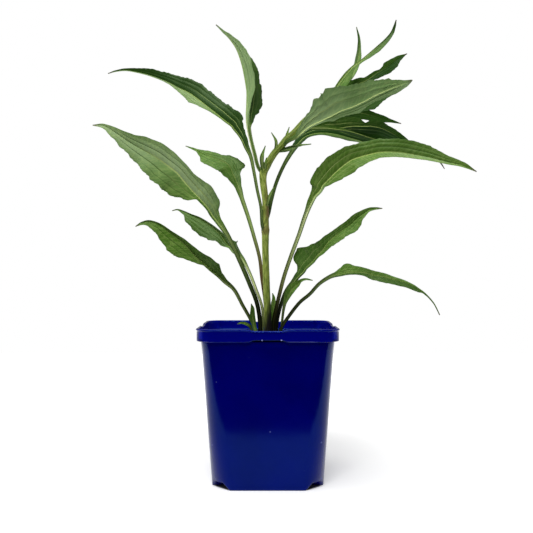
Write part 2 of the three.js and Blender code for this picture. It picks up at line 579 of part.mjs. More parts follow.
// Leaves that grow from the flower stem. Their feet start inside it and are cut to its surface.
const STEM_LEAVES = [
  {
    name: 'stem_leaf_left_long',
    face: [[0.5, -0.8, 0.2], [0.27, -0.87, 0.4], [0.27, -0.87, 0.4]],
    fold: [40, 45, 50, 29, 48, 48],
    bladeAt: 6,
    rows: [
      [-3, 0, 203, 1.4, 1.4], [-5, -4, 209, 1.5, 1.5], [-6, -5, 224, 1.6, 1.5],
      [-9, -4, 238, 1.7, 1.6], [-12, -2, 254, 1.7, 1.8], [-15, 1, 267, 1.7, 2.5],
      [-19, 3, 275, 1.8, 4.1], [-22, 5, 282, 2, 5.3], [-25, 7, 287, 2.2, 7],
      [-29, 9, 292, 2.6, 10.7], [-31, 10, 295, 3, 13.4], [-36, 12, 299, 4, 13.2],
      [-45, 16, 307, 6.5, 13], [-53, 20, 314, 10.6, 12.6], [-61, 24, 321, 13, 12.1],
      [-70, 28, 328, 11.4, 11.9], [-79, 31, 333, 8, 10.9], [-87, 34, 338, 6.6, 9.2],
      [-97, 37, 343, 5.4, 7.2], [-107, 39, 347, 4.4, 5.6], [-117, 41, 350, 3.4, 3.4],
      [-128, 42, 352, 2.2, 1.8], [-137, 42, 351, 1.4, 1.1], [-144, 42, 349, 0.4, 0.4],
    ],
  },
  {
    name: 'stem_leaf_upright',
    face: [[0.8, -0.3, 0.2], [0.95, -0.18, 0.25], [0.9, -0.15, 0.4]],
    fold: 47,
    bladeAt: 4,
    rows: [
      [-4, 0, 252, 1.5, 1.5], [-8, -1, 258, 1.6, 1.6], [-11, -1, 269, 1.6, 1.7],
      [-14, 0, 281, 1.7, 1.7], [-16, 0, 291, 1.9, 2.2], [-16.8, 1, 302, 2.6, 7.6],
      [-16.6, 1.6, 308, 4.2, 12.6], [-16.5, 2.3, 314, 6.4, 17], [-16.5, 3, 322, 13.2, 16.8],
      [-18, 4, 332, 16.5, 15.2], [-20, 5, 342, 16.5, 14.2], [-22.5, 6, 351, 13.5, 12],
      [-26, 7, 360, 9, 9], [-32, 8, 369, 4.4, 5], [-38, 8.5, 375, 1.6, 2], [-44, 9, 381, 0.4, 0.4],
    ],
  },
  {
    name: 'stem_leaf_right_back',
    face: [[-0.2, -0.6, 0.75], [0.05, -0.6, 0.75], [0.2, -0.6, 0.7]],
    fold: 16,
    bladeAt: 6,
    rows: [
      [-1, 0, 213, 1.3, 1.3], [1, 4, 221, 1.5, 1.5], [3, 8, 231, 1.5, 1.5],
      [7, 14, 246, 1.5, 1.5], [13, 21, 261, 1.6, 1.6], [20, 28, 274, 2, 2],
      [27, 32, 284, 4.4, 3], [34, 36, 291, 8, 5], [45, 41, 295, 11.5, 8],
      [60, 47, 295.5, 12.6, 11], [77, 53, 292.5, 12.6, 12], [94, 59, 289, 10.4, 10.6],
      [110, 64, 285, 6.6, 6.8], [122, 67, 281, 2.6, 2.6], [131, 70, 277, 0.4, 0.4],
    ],
  },
  {
    name: 'shoot_leaf_front',
    face: [[-0.35, 0.75, 0.55], [-0.3, 0.7, 0.6]],
    fold: 18,
    bladeAt: 2,
    rows: [
      [14, -4, 277, 1.5, 1.5], [18, -8, 279, 1.7, 1.7], [23, -10, 281, 1.8, 2.1],
      [28, -12, 285, 2, 4.4], [35, -14, 290, 2.2, 7.8], [42, -16, 293, 2.6, 13.2],
      [47, -18, 295, 3.9, 17], [52, -19, 297, 7.4, 19.2], [58, -21, 300, 8, 20],
      [65, -23, 302, 9.2, 19.6], [71, -25, 304, 11.2, 17.6], [74.5, -26, 305.5, 9.2, 16.4],
      [78, -27, 307, 7.2, 15.3], [84, -28.5, 310, 6.4, 12.7], [90, -30, 312.5, 7, 10.2],
      [97, -32, 315, 7, 7.3], [103, -33, 317, 5.6, 4.8], [109, -34, 319, 3.2, 2.7],
      [114, -35, 321, 0.4, 0.4],
    ],
  },
  {
    name: 'shoot_leaf_tip',
    face: [[0.2, -0.9, 0.3], [0.3, -0.8, 0.4]],
    fold: 15,
    bladeAt: 1,
    pitch: 13,
    teeth: 0.6,
    rows: [
      [45, -4, 307, 1.3, 1.3], [52, -6, 315, 1.4, 1.6], [59, -6.5, 326, 1.7, 6.6],
      [65, -7, 334, 1.6, 6], [71, -8, 340, 1.2, 2.4], [77.4, -9, 344.6, 0.9, 1.9],
      [83.4, -10, 349.6, 0.7, 3.4], [89.4, -11, 354.6, 0.7, 4.4], [96.4, -12, 360.6, 0.8, 3.4],
      [101.2, -13, 366, 0.8, 2.3], [103.5, -14, 371, 0.8, 1.4], [105, -15, 376, 0.4, 0.4],
    ],
  },
  {
    name: 'shoot_leaf_thin',
    face: [[-0.2, -0.97, 0], [-0.2, -0.97, 0]],
    fold: 12,
    bladeAt: 2,
    narrow: true,
    teeth: 0,
    rows: [
      [56, -3, 317, 1, 1], [63, -1, 326, 1.1, 1.1], [70, 2, 334, 1.7, 1.8],
      [74, 5, 342, 2.2, 2.4], [77, 8, 352, 2.6, 2.7], [78, 10, 361, 1.7, 1.7],
      [78, 11, 370, 1.1, 1.1], [76, 12, 380, 0.4, 0.4],
    ],
  },
  {
    name: 'shoot_leaf_back',
    face: [[0.1, -0.9, 0.4], [0.1, -0.8, 0.5]],
    fold: 20,
    bladeAt: 1,
    teeth: 0.7,
    rows: [
      [49, -3.5, 311, 1.1, 1.1], [58, 4, 318, 1.3, 1.5], [67, 9, 325, 3, 1.8],
      [75, 12, 330, 5.6, 2.1], [80, 13.5, 332.5, 5.2, 2.6], [85, 15, 335, 3.2, 3.2],
      [94, 19, 342, 2.8, 6.4], [98, 20.5, 345, 1.6, 7.2], [101, 22, 347, 2.4, 7.8],
      [104.5, 23.5, 349.5, 4.6, 7.2], [108, 25, 352, 4.4, 6.4], [115, 28, 358, 3, 3.4],
      [123, 30, 363, 0.4, 0.4],
    ],
  },
  {
    name: 'shoot_leaf_right',
    face: [[0.1, -0.95, 0.3], [0.2, -0.9, 0.4]],
    fold: 14,
    bladeAt: 1,
    rows: [
      [40, -2, 304, 1.2, 1.2], [46, 6, 307, 1.4, 1.6], [53.5, 14, 309, 2.5, 5],
      [63, 24, 311.2, 4, 9], [72.5, 29, 311.7, 5, 9], [82.5, 31, 310.8, 5.4, 7.4],
      [88.5, 32, 309.9, 4.2, 5.4], [92.5, 33, 309.1, 3.4, 5.4], [102, 34, 306.8, 3, 3.6],
      [111, 35, 304.3, 1.8, 1.8], [119, 36, 302.6, 0.4, 0.4],
    ],
  },
  {
    name: 'shoot_leaf_long',
    face: [[0.1, -0.75, 0.6], [0.2, -0.85, 0.5]],
    fold: 12,
    bladeAt: 2,
    rows: [
      [27, -3, 292, 1.3, 1.3], [33, 2, 292, 1.6, 1.6], [44, 6, 292.2, 6, 2.6],
      [53, 9, 292.8, 8.4, 4], [62.5, 12, 293.4, 7.8, 6], [70, 14, 295, 9.2, 10],
      [75.5, 16, 295.8, 9.2, 12], [80.5, 17, 296, 7.8, 12.6], [85, 18, 296.2, 3.4, 12.6],
      [90.5, 19.5, 296.4, 5.8, 12.6], [98, 21, 295.3, 7.6, 12.6], [105, 23, 293, 6.2, 12],
      [112.5, 25, 289.6, 5.4, 10], [120, 27, 285.2, 4.2, 7], [127, 29, 281, 2.4, 3.4],
      [133, 30, 276.5, 0.4, 0.4],
    ],
  },
  {
    name: 'shoot_leaf_low',
    face: [[0.1, -0.75, 0.65], [0.25, -0.75, 0.6]],
    fold: 20,
    bladeAt: 2,
    rows: [
      [24, -5, 288, 1.3, 1.3], [30, -8, 288.6, 1.6, 1.6], [41.5, -6, 289.2, 2.2, 2],
      [49, -4.5, 289.6, 2.2, 2.6], [58.5, -2, 289, 2, 4.4], [66.5, 0, 288.3, 2, 6.4],
      [74.5, 3, 287, 2.2, 7.4], [84.5, 6, 284.4, 2.6, 7.6], [94, 9, 282.3, 3, 6.6],
      [105, 12, 278.6, 2.8, 4.6], [115, 15, 274.6, 1.8, 2.2], [123, 17, 271, 0.4, 0.4],
    ],
  },
  {
    name: 'shoot_leaf_behind',
    face: [[-0.2, -0.85, 0.45], [-0.2, -0.9, 0.35]],
    fold: 16,
    bladeAt: 1,
    rows: [
      [46, -3, 308, 1.2, 1.2], [57, -5, 308, 2, 2.4], [67, -4, 308.6, 3.4, 6.4],
      [77, -3, 310.5, 4, 11.4], [86, -2, 313, 4, 10.6], [94, -1, 316.5, 3.6, 5.6],
      [103, 0, 320.5, 2.6, 3.4], [111, 1, 323, 0.4, 0.4],
    ],
  },
];

// Tiny young leaves in the stem's forks, fused to it. Each is [x, y, z, half-width] to its tip.
const YOUNG_LEAVES = [
  { face: [0.3, -0.9, 0.1], rows: [[-4, -2, 253, 1.2], [-5, -5, 265, 1.8], [-2, -5, 275, 0.4]] },
  { face: [0.1, -0.9, 0.2], rows: [[-2, -2, 254, 1], [-2, -5, 260, 1.2], [-1, -6, 265, 0.4]] },
  { face: [0.3, -0.8, -0.2], rows: [[5, -1, 267, 1], [7, -4, 278, 1.3], [3, -5, 286, 0.4]] },
  { face: [0, -0.9, 0.2], rows: [[13, -2, 277, 0.9], [16, -3, 285, 1], [18, -3, 291, 0.4]] },
  { face: [0, -0.5, 0.9], rows: [[12, -2, 273, 1], [24, -6, 275, 1.4], [36, -8, 276, 0.4]] },
  { face: [0, -0.5, 0.9], rows: [[10, -2, 271, 1], [16, -6, 271, 1.1], [22, -8, 273, 0.4]] },
  { face: [0, -0.9, 0.4], rows: [[-1, -1, 222, 1], [1, -4, 232, 1.3], [5, -3, 241, 0.4]] },
];

function youngLeaf({ face, rows }, index) {
  return leafSolid({
    rows: rows.map(([x, y, z, width]) => [x, y, z, width, width]),
    face: [face, face],
    fold: 20,
    bladeAt: 1,
    narrow: true,
    teeth: 0,
    seed: SEEDS.young + index,
  });
}

// ---------------------------------------------------------------- the flower stem

// The stem stands in the soil, and above its fork it leans away to the right as the shoot.
const STEM_ROWS = [
  [0, 0, ROOT.bottom, STEM.baseRadius], [0, 0, 112, STEM.baseRadius], [0, 0, 130, 3],
  [-1, 0, 155, 2.8], [-2, 0, 188, 2.7], [-2, 0, 201, 2.9], [-2, 0, 205, 3.4],
  [-2, 0, 209, 2.9], [-2, 0, 218, 2.7], [-2, 0, 230, 2.6], [-4, 0, 247, 2.8],
  [-3.5, 0, 254, 3.3], [-1, 0, 259, 3.3], [2, -1, 264, STEM.forkRadius], [6, -1, 270, 2.8],
  [11, -2, 275, 2.8], [16, -3, 281, 2.9], [22, -4, 286, 2.7], [30, -4, 295, 2.5],
  [39, -4, 303, 2.2], [52, -4, 313, 1.8], [59, -3, 320, STEM.tipRadius],
];

function buildStem() {
  let stem = roundTube(STEM_ROWS, STEM.sides, STEM.step);
  YOUNG_LEAVES.forEach((leaf, index) => {
    stem = stem.add(youngLeaf(leaf, index));
  });
  return stem;
}

// ---------------------------------------------------------------- the plant in its pot

const finish = (color, roughness) =>
  new THREE.MeshStandardMaterial({ color, roughness, metalness: 0 });

const plant = new THREE.Group();
plant.name = 'coneflower_plant';

const bluePlastic = finish(0x0a0a6e, 0.28);
const darkSoil = finish(0x33261d, 0.95);
const stemGreen = finish(0x7d8f4a, 0.6);
const leafGreen = finish(0x5f8548, 0.62);

const stemSolid = buildStem();
const stemRoom = roundTube(STEM_ROWS, STEM.sides, STEM.step, GAP);

const holes = [[0, 0, STEM.baseRadius + ROOT.room]];
BASAL_LEAVES.forEach((leaf, index) => {
  const [x, y, , radius] = leaf.rows[0];
  holes.push([x, y, radius * ROOT.widest + ROOT.room]);
  plant.add(meshOf(leaf.name, leafSolid({ ...leaf, seed: SEEDS.basal + index }), leafGreen));
});
STEM_LEAVES.forEach((leaf, index) => {
  const whole = leafSolid({ ...leaf, seed: SEEDS.stem + index });
  plant.add(meshOf(leaf.name, whole.subtract(stemRoom), leafGreen));
});
plant.add(meshOf('flower_stem', stemSolid, stemGreen));
plant.add(meshOf('potting_soil', buildSoil(holes), darkSoil));
plant.add(meshOf('nursery_pot', buildPot(), bluePlastic));

export default plant;
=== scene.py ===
"""A young purple coneflower plant, still in leaf, growing in a deep square nursery pot.

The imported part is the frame. Its leaves, flower stem and pot are rebuilt here as finer meshes of
the same form, with veins, hairs and soil crumbs, and every surface gets a procedural finish.
Numbers in the tables are millimetres. The meshes are in metres.
"""

from __future__ import annotations

import logging
import math
import random
from collections.abc import Callable, Iterable, Sequence
from dataclasses import dataclass, field, replace
from enum import Enum

import bmesh
import bpy
from mathutils import Matrix, Vector, noise

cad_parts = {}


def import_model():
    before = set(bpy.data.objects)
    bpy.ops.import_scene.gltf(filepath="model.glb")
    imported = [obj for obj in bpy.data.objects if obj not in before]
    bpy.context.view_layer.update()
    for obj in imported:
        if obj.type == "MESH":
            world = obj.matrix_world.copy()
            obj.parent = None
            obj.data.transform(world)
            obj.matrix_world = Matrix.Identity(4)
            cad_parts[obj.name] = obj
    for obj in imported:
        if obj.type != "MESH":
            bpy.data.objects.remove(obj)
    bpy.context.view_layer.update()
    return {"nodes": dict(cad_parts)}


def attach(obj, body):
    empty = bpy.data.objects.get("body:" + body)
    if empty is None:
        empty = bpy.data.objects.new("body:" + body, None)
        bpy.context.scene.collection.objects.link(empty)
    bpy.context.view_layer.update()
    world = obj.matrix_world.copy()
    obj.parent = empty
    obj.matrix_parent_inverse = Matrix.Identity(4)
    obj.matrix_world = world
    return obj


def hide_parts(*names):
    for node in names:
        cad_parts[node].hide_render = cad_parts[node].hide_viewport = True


LOG = logging.getLogger("coneflower")
BODY = "root"
MM = 0.001
IMAGE_SIDE = 533
SENSOR_WIDTH = 36.0
ROOT_END = 98.0

Span = tuple[float, float]
Triple = tuple[float, float, float]
Row = tuple[float, ...]
Colour = tuple[float, float, float, float]


class Slot(Enum):
    """The record's material slots."""

    LEAF = "leaf"
    STEM = "stem"
    SOIL = "soil"
    PLASTIC = "blue_plastic"


# ---------------------------------------- numbers


def lerp(low: float, high: float, share: float) -> float:
    """Returns the number that lies at a share of the way from low to high."""
    return low + (high - low) * share


def ramp(value: float, low: float, high: float) -> float:
    """Returns 0 up to low, 1 from high, and evenly in between."""
    return min(1.0, max(0.0, (value - low) / (high - low)))


def soft_ramp(value: float, low: float, high: float) -> float:
    """Returns a ramp whose two ends are eased."""
    share = ramp(value, low, high)
    return share * share * (3 - 2 * share)


def between(values: Sequence, share: float) -> tuple:
    """Finds a place in an evenly spread list.

    Args:
        values: The list, spread evenly from 0 to 1.
        share: The place.

    Returns:
        The values before and after the place, and the way between them from 0 to 1.
    """
    place = share * (len(values) - 1)
    index = max(0, min(math.floor(place), len(values) - 2))
    after = values[index + 1] if len(values) > 1 else values[index]
    return values[index], after, place - index


def paint(red: int, green: int, blue: int) -> Colour:
    """Turns a screen colour into a scene-linear one.

    Args:
        red: Its red, from 0 to 255.
        green: Its green.
        blue: Its blue.

    Returns:
        The colour, fully opaque.
    """
    steps = (red, green, blue)
    linear = [((c / 255 + 0.055) / 1.055) ** 2.4 if c > 10 else c / 255 / 12.92 for c in steps]
    return (*linear, 1.0)


def grey(level: float) -> Colour:
    """Returns the grey of this scene-linear level."""
    return (level, level, level, 1.0)


@dataclass
class Draws:
    """Even random draws, the same run of numbers for the same seed."""

    state: int

    FACTOR = 1664525
    STEP = 1013904223
    RANGE = 2**32

    def next(self) -> float:
        """Returns the next draw, from 0 up to 1."""
        self.state = (self.state * self.FACTOR + self.STEP) % self.RANGE
        return self.state / self.RANGE


class Route:
    """A smooth curve through rows of numbers, of which the first three are a place.

    Its direction runs from LOOK millimetres before a place to as far after it.
    """

    LOOK = 0.5

    def __init__(self, rows: Sequence[Row]) -> None:
        """Measures the straight distance from row to row.

        Args:
            rows: The rows, at least two, all of one length.
        """
        self.rows = rows
        self.distance = [0.0]
        for before, after in zip(rows, rows[1:]):
            step = (Vector(after[:3]) - Vector(before[:3])).length
            self.distance.append(self.distance[-1] + step)

    @property
    def length(self) -> float:
        """The whole distance along the rows."""
        return self.distance[-1]

    def _slope(self, index: int, column: int) -> float:
        """Measures how fast a column changes at a row.

        Args:
            index: The row's number.
            column: The column's number.

        Returns:
            The change to the millimetre.
        """
        before = max(index - 1, 0)
        after = min(index + 1, len(self.rows) - 1)
        rise = self.rows[after][column] - self.rows[before][column]
        return rise / (self.distance[after] - self.distance[before])

    def at(self, s: float) -> list[float]:
        """Returns the row of numbers at a distance from the start.

        Args:
            s: The distance from the start.

        Returns:
            The place, then the numbers that ride along, which never pass their neighbours.
        """
        index = 0
        while index < len(self.rows) - 2 and s > self.distance[index + 1]:
            index += 1
        span = self.distance[index + 1] - self.distance[index]
        t = min(1.0, max(0.0, (s - self.distance[index]) / span))
        ease = t * t * (3 - 2 * t)
        found = []
        for column, (start, end) in enumerate(zip(self.rows[index], self.rows[index + 1])):
            if column > 2:
                found.append(lerp(start, end, (t + ease) / 2))
                continue
            pull = (1 - t) * self._slope(index, column) - t * self._slope(index + 1, column)
            found.append(lerp(start, end, ease) + t * (1 - t) * span * pull)
        return found

    def place(self, s: float) -> Vector:
        """Returns the place at a distance from the start."""
        return Vector(self.at(s)[:3])

    def direction(self, s: float) -> Vector:
        """Returns the direction of the curve at a distance from the start."""
        ahead = self.place(min(s + self.LOOK, self.length))
        behind = self.place(max(s - self.LOOK, 0.0))
        return (ahead - behind).normalized()


# ---------------------------------------- materials


class Link:
    """A socket that hands on a colour, a vector or a number."""

    def __init__(self, graph: Graph, socket: bpy.types.NodeSocket) -> None:
        """Keeps the socket with the graph that it belongs to."""
        self.graph = graph
        self.socket = socket


def arithmetic(operation: str, swapped: bool = False) -> Callable[..., Value]:
    """Makes an operator that adds a Math node.

    Args:
        operation: The node's operation.
        swapped: Whether the value comes after the other operand.

    Returns:
        The operator, which takes the value and at most one more value or number.
    """

    def operator(value: Value, *others: Value | float) -> Value:
        """Returns the result of the Math node."""
        operands = (*others, value) if swapped else (value, *others)
        made = value.graph.node("ShaderNodeMath", {"operation": operation}, dict(enumerate(operands)))
        return Value(value.graph, made.outputs[0])

    return operator


class Value(Link):
    """A number that changes over a surface."""

    __add__ = __radd__ = arithmetic("ADD")
    __sub__ = arithmetic("SUBTRACT")
    __rsub__ = arithmetic("SUBTRACT", swapped=True)
    __mul__ = __rmul__ = arithmetic("MULTIPLY")
    __truediv__ = arithmetic("DIVIDE")
    __pow__ = arithmetic("POWER")
    __abs__ = arithmetic("ABSOLUTE")

    def ramp(self, low: float, high: float) -> Value:
        """Eases the number from 0 to 1.

        Args:
            low: Where it leaves 0.
            high: Where it reaches 1.

        Returns:
            The eased number.
        """
        made = self.graph.node(
            "ShaderNodeMapRange",
            {"interpolation_type": "SMOOTHSTEP"},
            {"Value": self, "From Min": low, "From Max": high},
        )
        return Value(self.graph, made.outputs[0])


class Graph:
    """A node tree that is written as expressions."""

    def __init__(self, tree: bpy.types.NodeTree) -> None:
        """Empties the tree."""
        self.tree = tree
        tree.nodes.clear()

    def node(self, kind: str, settings: dict | None = None, inputs: dict | None = None) -> bpy.types.Node:
        """Adds a node.

        Args:
            kind: The node's type.
            settings: Its settings, which are set first.
            inputs: Values or links, by the name or number of their sockets.

        Returns:
            The node.
        """
        made = self.tree.nodes.new(kind)
        for name, value in (settings or {}).items():
            setattr(made, name, value)
        for key, value in (inputs or {}).items():
            if isinstance(value, Link):
                self.tree.links.new(value.socket, made.inputs[key])
            else:
                made.inputs[key].default_value = value
        return made

    def coordinates(self, output: str = "Object") -> Link:
        """Returns one of the texture coordinates."""
        return Link(self, self.node("ShaderNodeTexCoord").outputs[output])

    def axis(self, vector: Link, name: str) -> Value:
        """Returns the X, Y or Z of a vector."""
        return Value(self, self.node("ShaderNodeSeparateXYZ", None, {0: vector}).outputs[name])

    def vector(self, x: Value | float, y: Value | float) -> Link:
        """Returns a vector of these parts, with a Z of 0."""
        return Link(self, self.node("ShaderNodeCombineXYZ", None, {0: x, 1: y}).outputs[0])

    def attribute(self, name: str) -> Value:
        """Returns a number that the mesh holds under this name."""
        made = self.node("ShaderNodeAttribute", {"attribute_name": name})
        return Value(self, made.outputs["Fac"])

    def clouds(self, vector: Link, scale: float, detail: float = 3.0, twist: float = 0.0) -> Value:
        """Returns soft noise from 0 to 1, with this many clouds to the unit."""
        inputs = {"Vector": vector, "Scale": scale, "Detail": detail, "Distortion": twist}
        return Value(self, self.node("ShaderNodeTexNoise", None, inputs).outputs[0])

    def cells(self, vector: Link, scale: float, feature: str = "DISTANCE_TO_EDGE") -> Value:
        """Returns the distance in a pattern of cells, from their edges or their middles."""
        made = self.node("ShaderNodeTexVoronoi", {"feature": feature}, {"Vector": vector, "Scale": scale})
        return Value(self, made.outputs["Distance"])

    def mix(self, share: Value | float, first: Link | Colour, second: Link | Colour) -> Link:
        """Returns a colour that goes from first to second as share goes from 0 to 1."""
        made = self.node("ShaderNodeMix", {"data_type": "RGBA"}, {0: share, 6: first, 7: second})
        return Link(self, made.outputs[2])

    def layers(self, base: Link | Colour, *layers: tuple[Value | float, Link | Colour]) -> Link:
        """Returns a colour with more colours laid over it in turn, each by its share."""
        for share, colour in layers:
            base = self.mix(share, base, colour)
        return base

    def bump(self, height: Value, strength: float, distance: float) -> Link:
        """Returns the normal of a relief of this height."""
        inputs = {"Height": height, "Strength": strength, "Distance": distance}
        return Link(self, self.node("ShaderNodeBump", None, inputs).outputs[0])


class Finish:
    """What all finishes share: they make their material once and give it out by their name."""

    name: str

    def paint_on(self, graph: Graph) -> dict[str, Link | float | Colour]:
        """Returns the inputs of the surface's shader.

        Args:
            graph: The material's graph.

        Returns:
            Values or links by the names of the shader's sockets.
        """
        raise NotImplementedError

    def material(self) -> bpy.types.Material:
        """Makes the material at the first call.

        Returns:
            The material.
        """
        made = bpy.data.materials.get(self.name)
        if made is None:
            made = bpy.data.materials.new(self.name)
            made.use_nodes = True
            graph = Graph(made.node_tree)
            shader = graph.node("ShaderNodeBsdfPrincipled", None, self.paint_on(graph))
            graph.node("ShaderNodeOutputMaterial", None, {0: Link(graph, shader.outputs[0])})
        return made


@dataclass(frozen=True)
class LeafFinish(Finish):
    """One face of a leaf: mottled green, pale veins, and a pale petiole that darkens at its foot.

    Scales are clouds or cells to the unit, and spans are where a change starts and ends. The foot's
    height is in metres, and the net's and the midrib's edges are in the units of their coordinates.
    """

    name: str
    dark: Colour
    light: Colour
    # shade is painted shade in the vein grooves, also used for the darker margin.
    shade: Colour
    vein: Colour
    stalk: Colour
    stalk_edge: Colour
    roughness: float
    warm: Colour = paint(104, 134, 50)
    # sheen is painted sheen and deep is painted shade, which the tone lays on the halves of a blade.
    sheen: Colour = paint(158, 180, 134)
    deep: Colour = paint(10, 48, 2)
    # The petiole's pale cream, which its tone also lays on as a painted highlight, and its painted shade.
    stalk_cream_and_highlight: Colour = paint(212, 220, 164)
    stalk_shade: Colour = paint(44, 66, 22)
    stalk_flush: Colour = paint(104, 68, 44)
    stalk_foot: Colour = paint(9, 7, 4)
    withered: Colour = paint(92, 77, 68)
    gloss: Colour = (0.6, 0.85, 0.42, 1.0)
    shine: float = 0.4
    mottle_scale: float = 55.0
    streak_scale: float = 62.0
    streak_squash: float = 0.45
    streak_slant: float = 0.9
    net_scale: float = 26.0
    net_edge: Span = (0.0, 0.12)
    midrib_edge: Span = (0.002, 0.0065)
    foot_height: Span = (0.138, 0.172)

    def paint_on(self, graph: Graph) -> dict[str, Link | float | Colour]:
        """Returns the shader's inputs. See Finish."""
        place = graph.coordinates()
        surface = graph.coordinates("UV")
        across, along = abs(graph.axis(surface, "X")), graph.axis(surface, "Y")
        slanted = graph.vector(across * self.streak_squash, along - across * self.streak_slant)
        mottle = graph.clouds(place, self.mottle_scale, 3.0)
        streaks = graph.clouds(slanted, self.streak_scale, 2.0)
        net = 1 - graph.cells(slanted, self.net_scale).ramp(*self.net_edge)
        rim = graph.attribute("rim")
        # The tone paints light and shade: above 0 painted sheen on the blade and a painted highlight on
        # the petiole, below 0 painted shade.
        tone = graph.attribute("tone")
        lighter, darker = tone.ramp(0.0, 1.0), (tone * -1).ramp(0.0, 1.0)
        vein = graph.attribute("vein")
        midrib = 1 - across.ramp(*self.midrib_edge)
        line = (vein.ramp(0.45, 0.95) + midrib).ramp(0.0, 1.0) * graph.attribute("pale")
        blade = graph.layers(
            self.dark,
            (mottle.ramp(0.32, 0.7), self.light),
            (streaks.ramp(0.45, 0.75) * 0.15, self.light),
            (graph.attribute("warmth"), self.warm),
            # Painted sheen, weaker towards the margin.
            (lighter * (1 - rim.ramp(0.4, 0.9) * 0.4) * 0.8, self.sheen),
            (net * 0.16, self.vein),
            # Painted shade.
            (darker * 0.95, self.deep),
            # Painted shade in the grooves beside the veins, and a darker margin.
            (vein.ramp(0.35, 0.95) * 0.95 + rim**6 * 0.35, self.shade),
            (line, self.vein),
            (graph.attribute("tip") * 0.8, self.withered),
        )
        foot = 1 - graph.axis(place, "Z").ramp(*self.foot_height)
        petiole = graph.layers(
            self.stalk,
            # Painted highlight, painted shade, and a dark foot that is deeper under painted shade.
            (lighter, self.stalk_cream_and_highlight),
            (rim.ramp(0.4, 0.8), self.stalk_edge),
            (darker * 0.9, self.stalk_shade),
            (graph.attribute("flush"), self.stalk_flush),
            (foot * (darker * 0.7 + 0.3), self.stalk_foot),
        )
        relief = mottle * 0.4 + streaks * 0.5 - net * 0.1
        return {
            "Base Color": graph.mix(graph.attribute("stalk"), blade, petiole),
            "Roughness": self.roughness + (streaks - 0.5) * 0.15,
            "Specular IOR Level": self.shine,
            "Specular Tint": self.gloss,
            "Normal": graph.bump(relief, 0.1, 0.0009),
        }


@dataclass(frozen=True)
class StemFinish(Finish):
    """The flower stem: streaked yellow-green, with painted shade on its right, and nearly black at its
    foot.

    It is flushed with brown at its node, and on its right above that. Places and spans are in
    metres, and a span is where a change starts and ends.
    """

    name: str = "stem_skin"
    green: Colour = paint(176, 192, 92)
    # deep is the green between the streaks, and on the right it is also painted shade.
    deep: Colour = paint(92, 112, 32)
    flush: Colour = paint(104, 70, 50)
    foot_colour: Colour = paint(10, 8, 4)
    shaded_side: Span = (-0.0045, 0.0025)
    foot_height: Span = (0.112, 0.138)
    foot_slope: float = 0.02
    node_height: float = 0.205
    node_reach: float = 0.005
    flush_side: Span = (-0.004, 0.001)
    flush_start: Span = (0.206, 0.214)
    flush_end: Span = (0.24, 0.262)

    def paint_on(self, graph: Graph) -> dict[str, Link | float | Colour]:
        """Returns the shader's inputs. See Finish."""
        place = graph.coordinates()
        side, height = graph.axis(place, "X"), graph.axis(place, "Z")
        streaks = graph.clouds(graph.coordinates("UV"), 90.0, 3.0)
        blotches = graph.clouds(place, 120.0, 2.0)
        # Painted shade on the right: less of the streaks' green, and the dark foot reaching higher.
        shaded = side.ramp(*self.shaded_side)
        foot = 1 - (height - shaded * self.foot_slope).ramp(*self.foot_height)
        node = 1 - ((height - self.node_height) ** 2 * self.node_reach**-2).ramp(0.0, 1.0)
        upper = height.ramp(*self.flush_start) * (1 - height.ramp(*self.flush_end))
        upper = upper * side.ramp(*self.flush_side) * blotches.ramp(0.3, 0.6)
        skin = graph.layers(
            self.deep,
            (streaks.ramp(0.3, 0.7) * (1 - shaded * 0.7), self.green),
            (upper * 0.8, self.flush),
            (node * 0.5, self.flush),
            (foot, self.foot_colour),
        )
        return {
            "Base Color": skin,
            "Roughness": 0.5 + streaks * 0.16,
            "Specular IOR Level": 0.25,
            "Normal": graph.bump(streaks, 0.4, 0.0005),
        }


@dataclass(frozen=True)
class HairFinish(Finish):
    """The short stiff hairs on stem and petioles, nearly colourless."""

    name: str = "plant_hair"
    colour: Colour = paint(170, 186, 126)
    tip: Colour = paint(206, 214, 168)

    def paint_on(self, graph: Graph) -> dict[str, Link | float | Colour]:
        """Returns the shader's inputs. See Finish."""
        speckle = graph.clouds(graph.coordinates(), 900.0, 1.0)
        return {
            "Base Color": graph.mix(speckle, self.colour, self.tip),
            "Roughness": 0.45 + speckle * 0.2,
        }


@dataclass(frozen=True)
class GrainyFinish(Finish):
    """A rough and grainy surface of two colours, such as peat, bark, perlite, or the tabs' pale plastic
    as a painted highlight.
    """

    name: str
    dark: Colour
    light: Colour
    scale: float = 420.0

    def paint_on(self, graph: Graph) -> dict[str, Link | float | Colour]:
        """Returns the shader's inputs. See Finish."""
        place = graph.coordinates()
        grain = graph.clouds(place, self.scale, 5.0)
        lumps = graph.cells(place, self.scale * 0.6, "F1")
        return {
            "Base Color": graph.mix(grain.ramp(0.38, 0.68), self.dark, self.light),
            "Roughness": 0.82 + grain * 0.16,
            "Specular IOR Level": 0.25,
            "Normal": graph.bump(grain + lumps * 0.5, 0.8, 0.0012),
        }


def square_reach(graph: Graph, place: Link) -> Value:
    """Returns how far out a place lies on squares round the upright axis.

    A high power makes the greater distance count alone. The distances are first made larger, so
    that their powers don't vanish.

    Args:
        graph: The material's graph.
        place: The place.

    Returns:
        About the greater of the distances along X and Y, in metres.
    """
    power, larger = 16, 10.0
    x, y = (graph.axis(place, name) * larger for name in "XY")
    return (x**power + y**power) ** (1 / power) * (1 / larger)


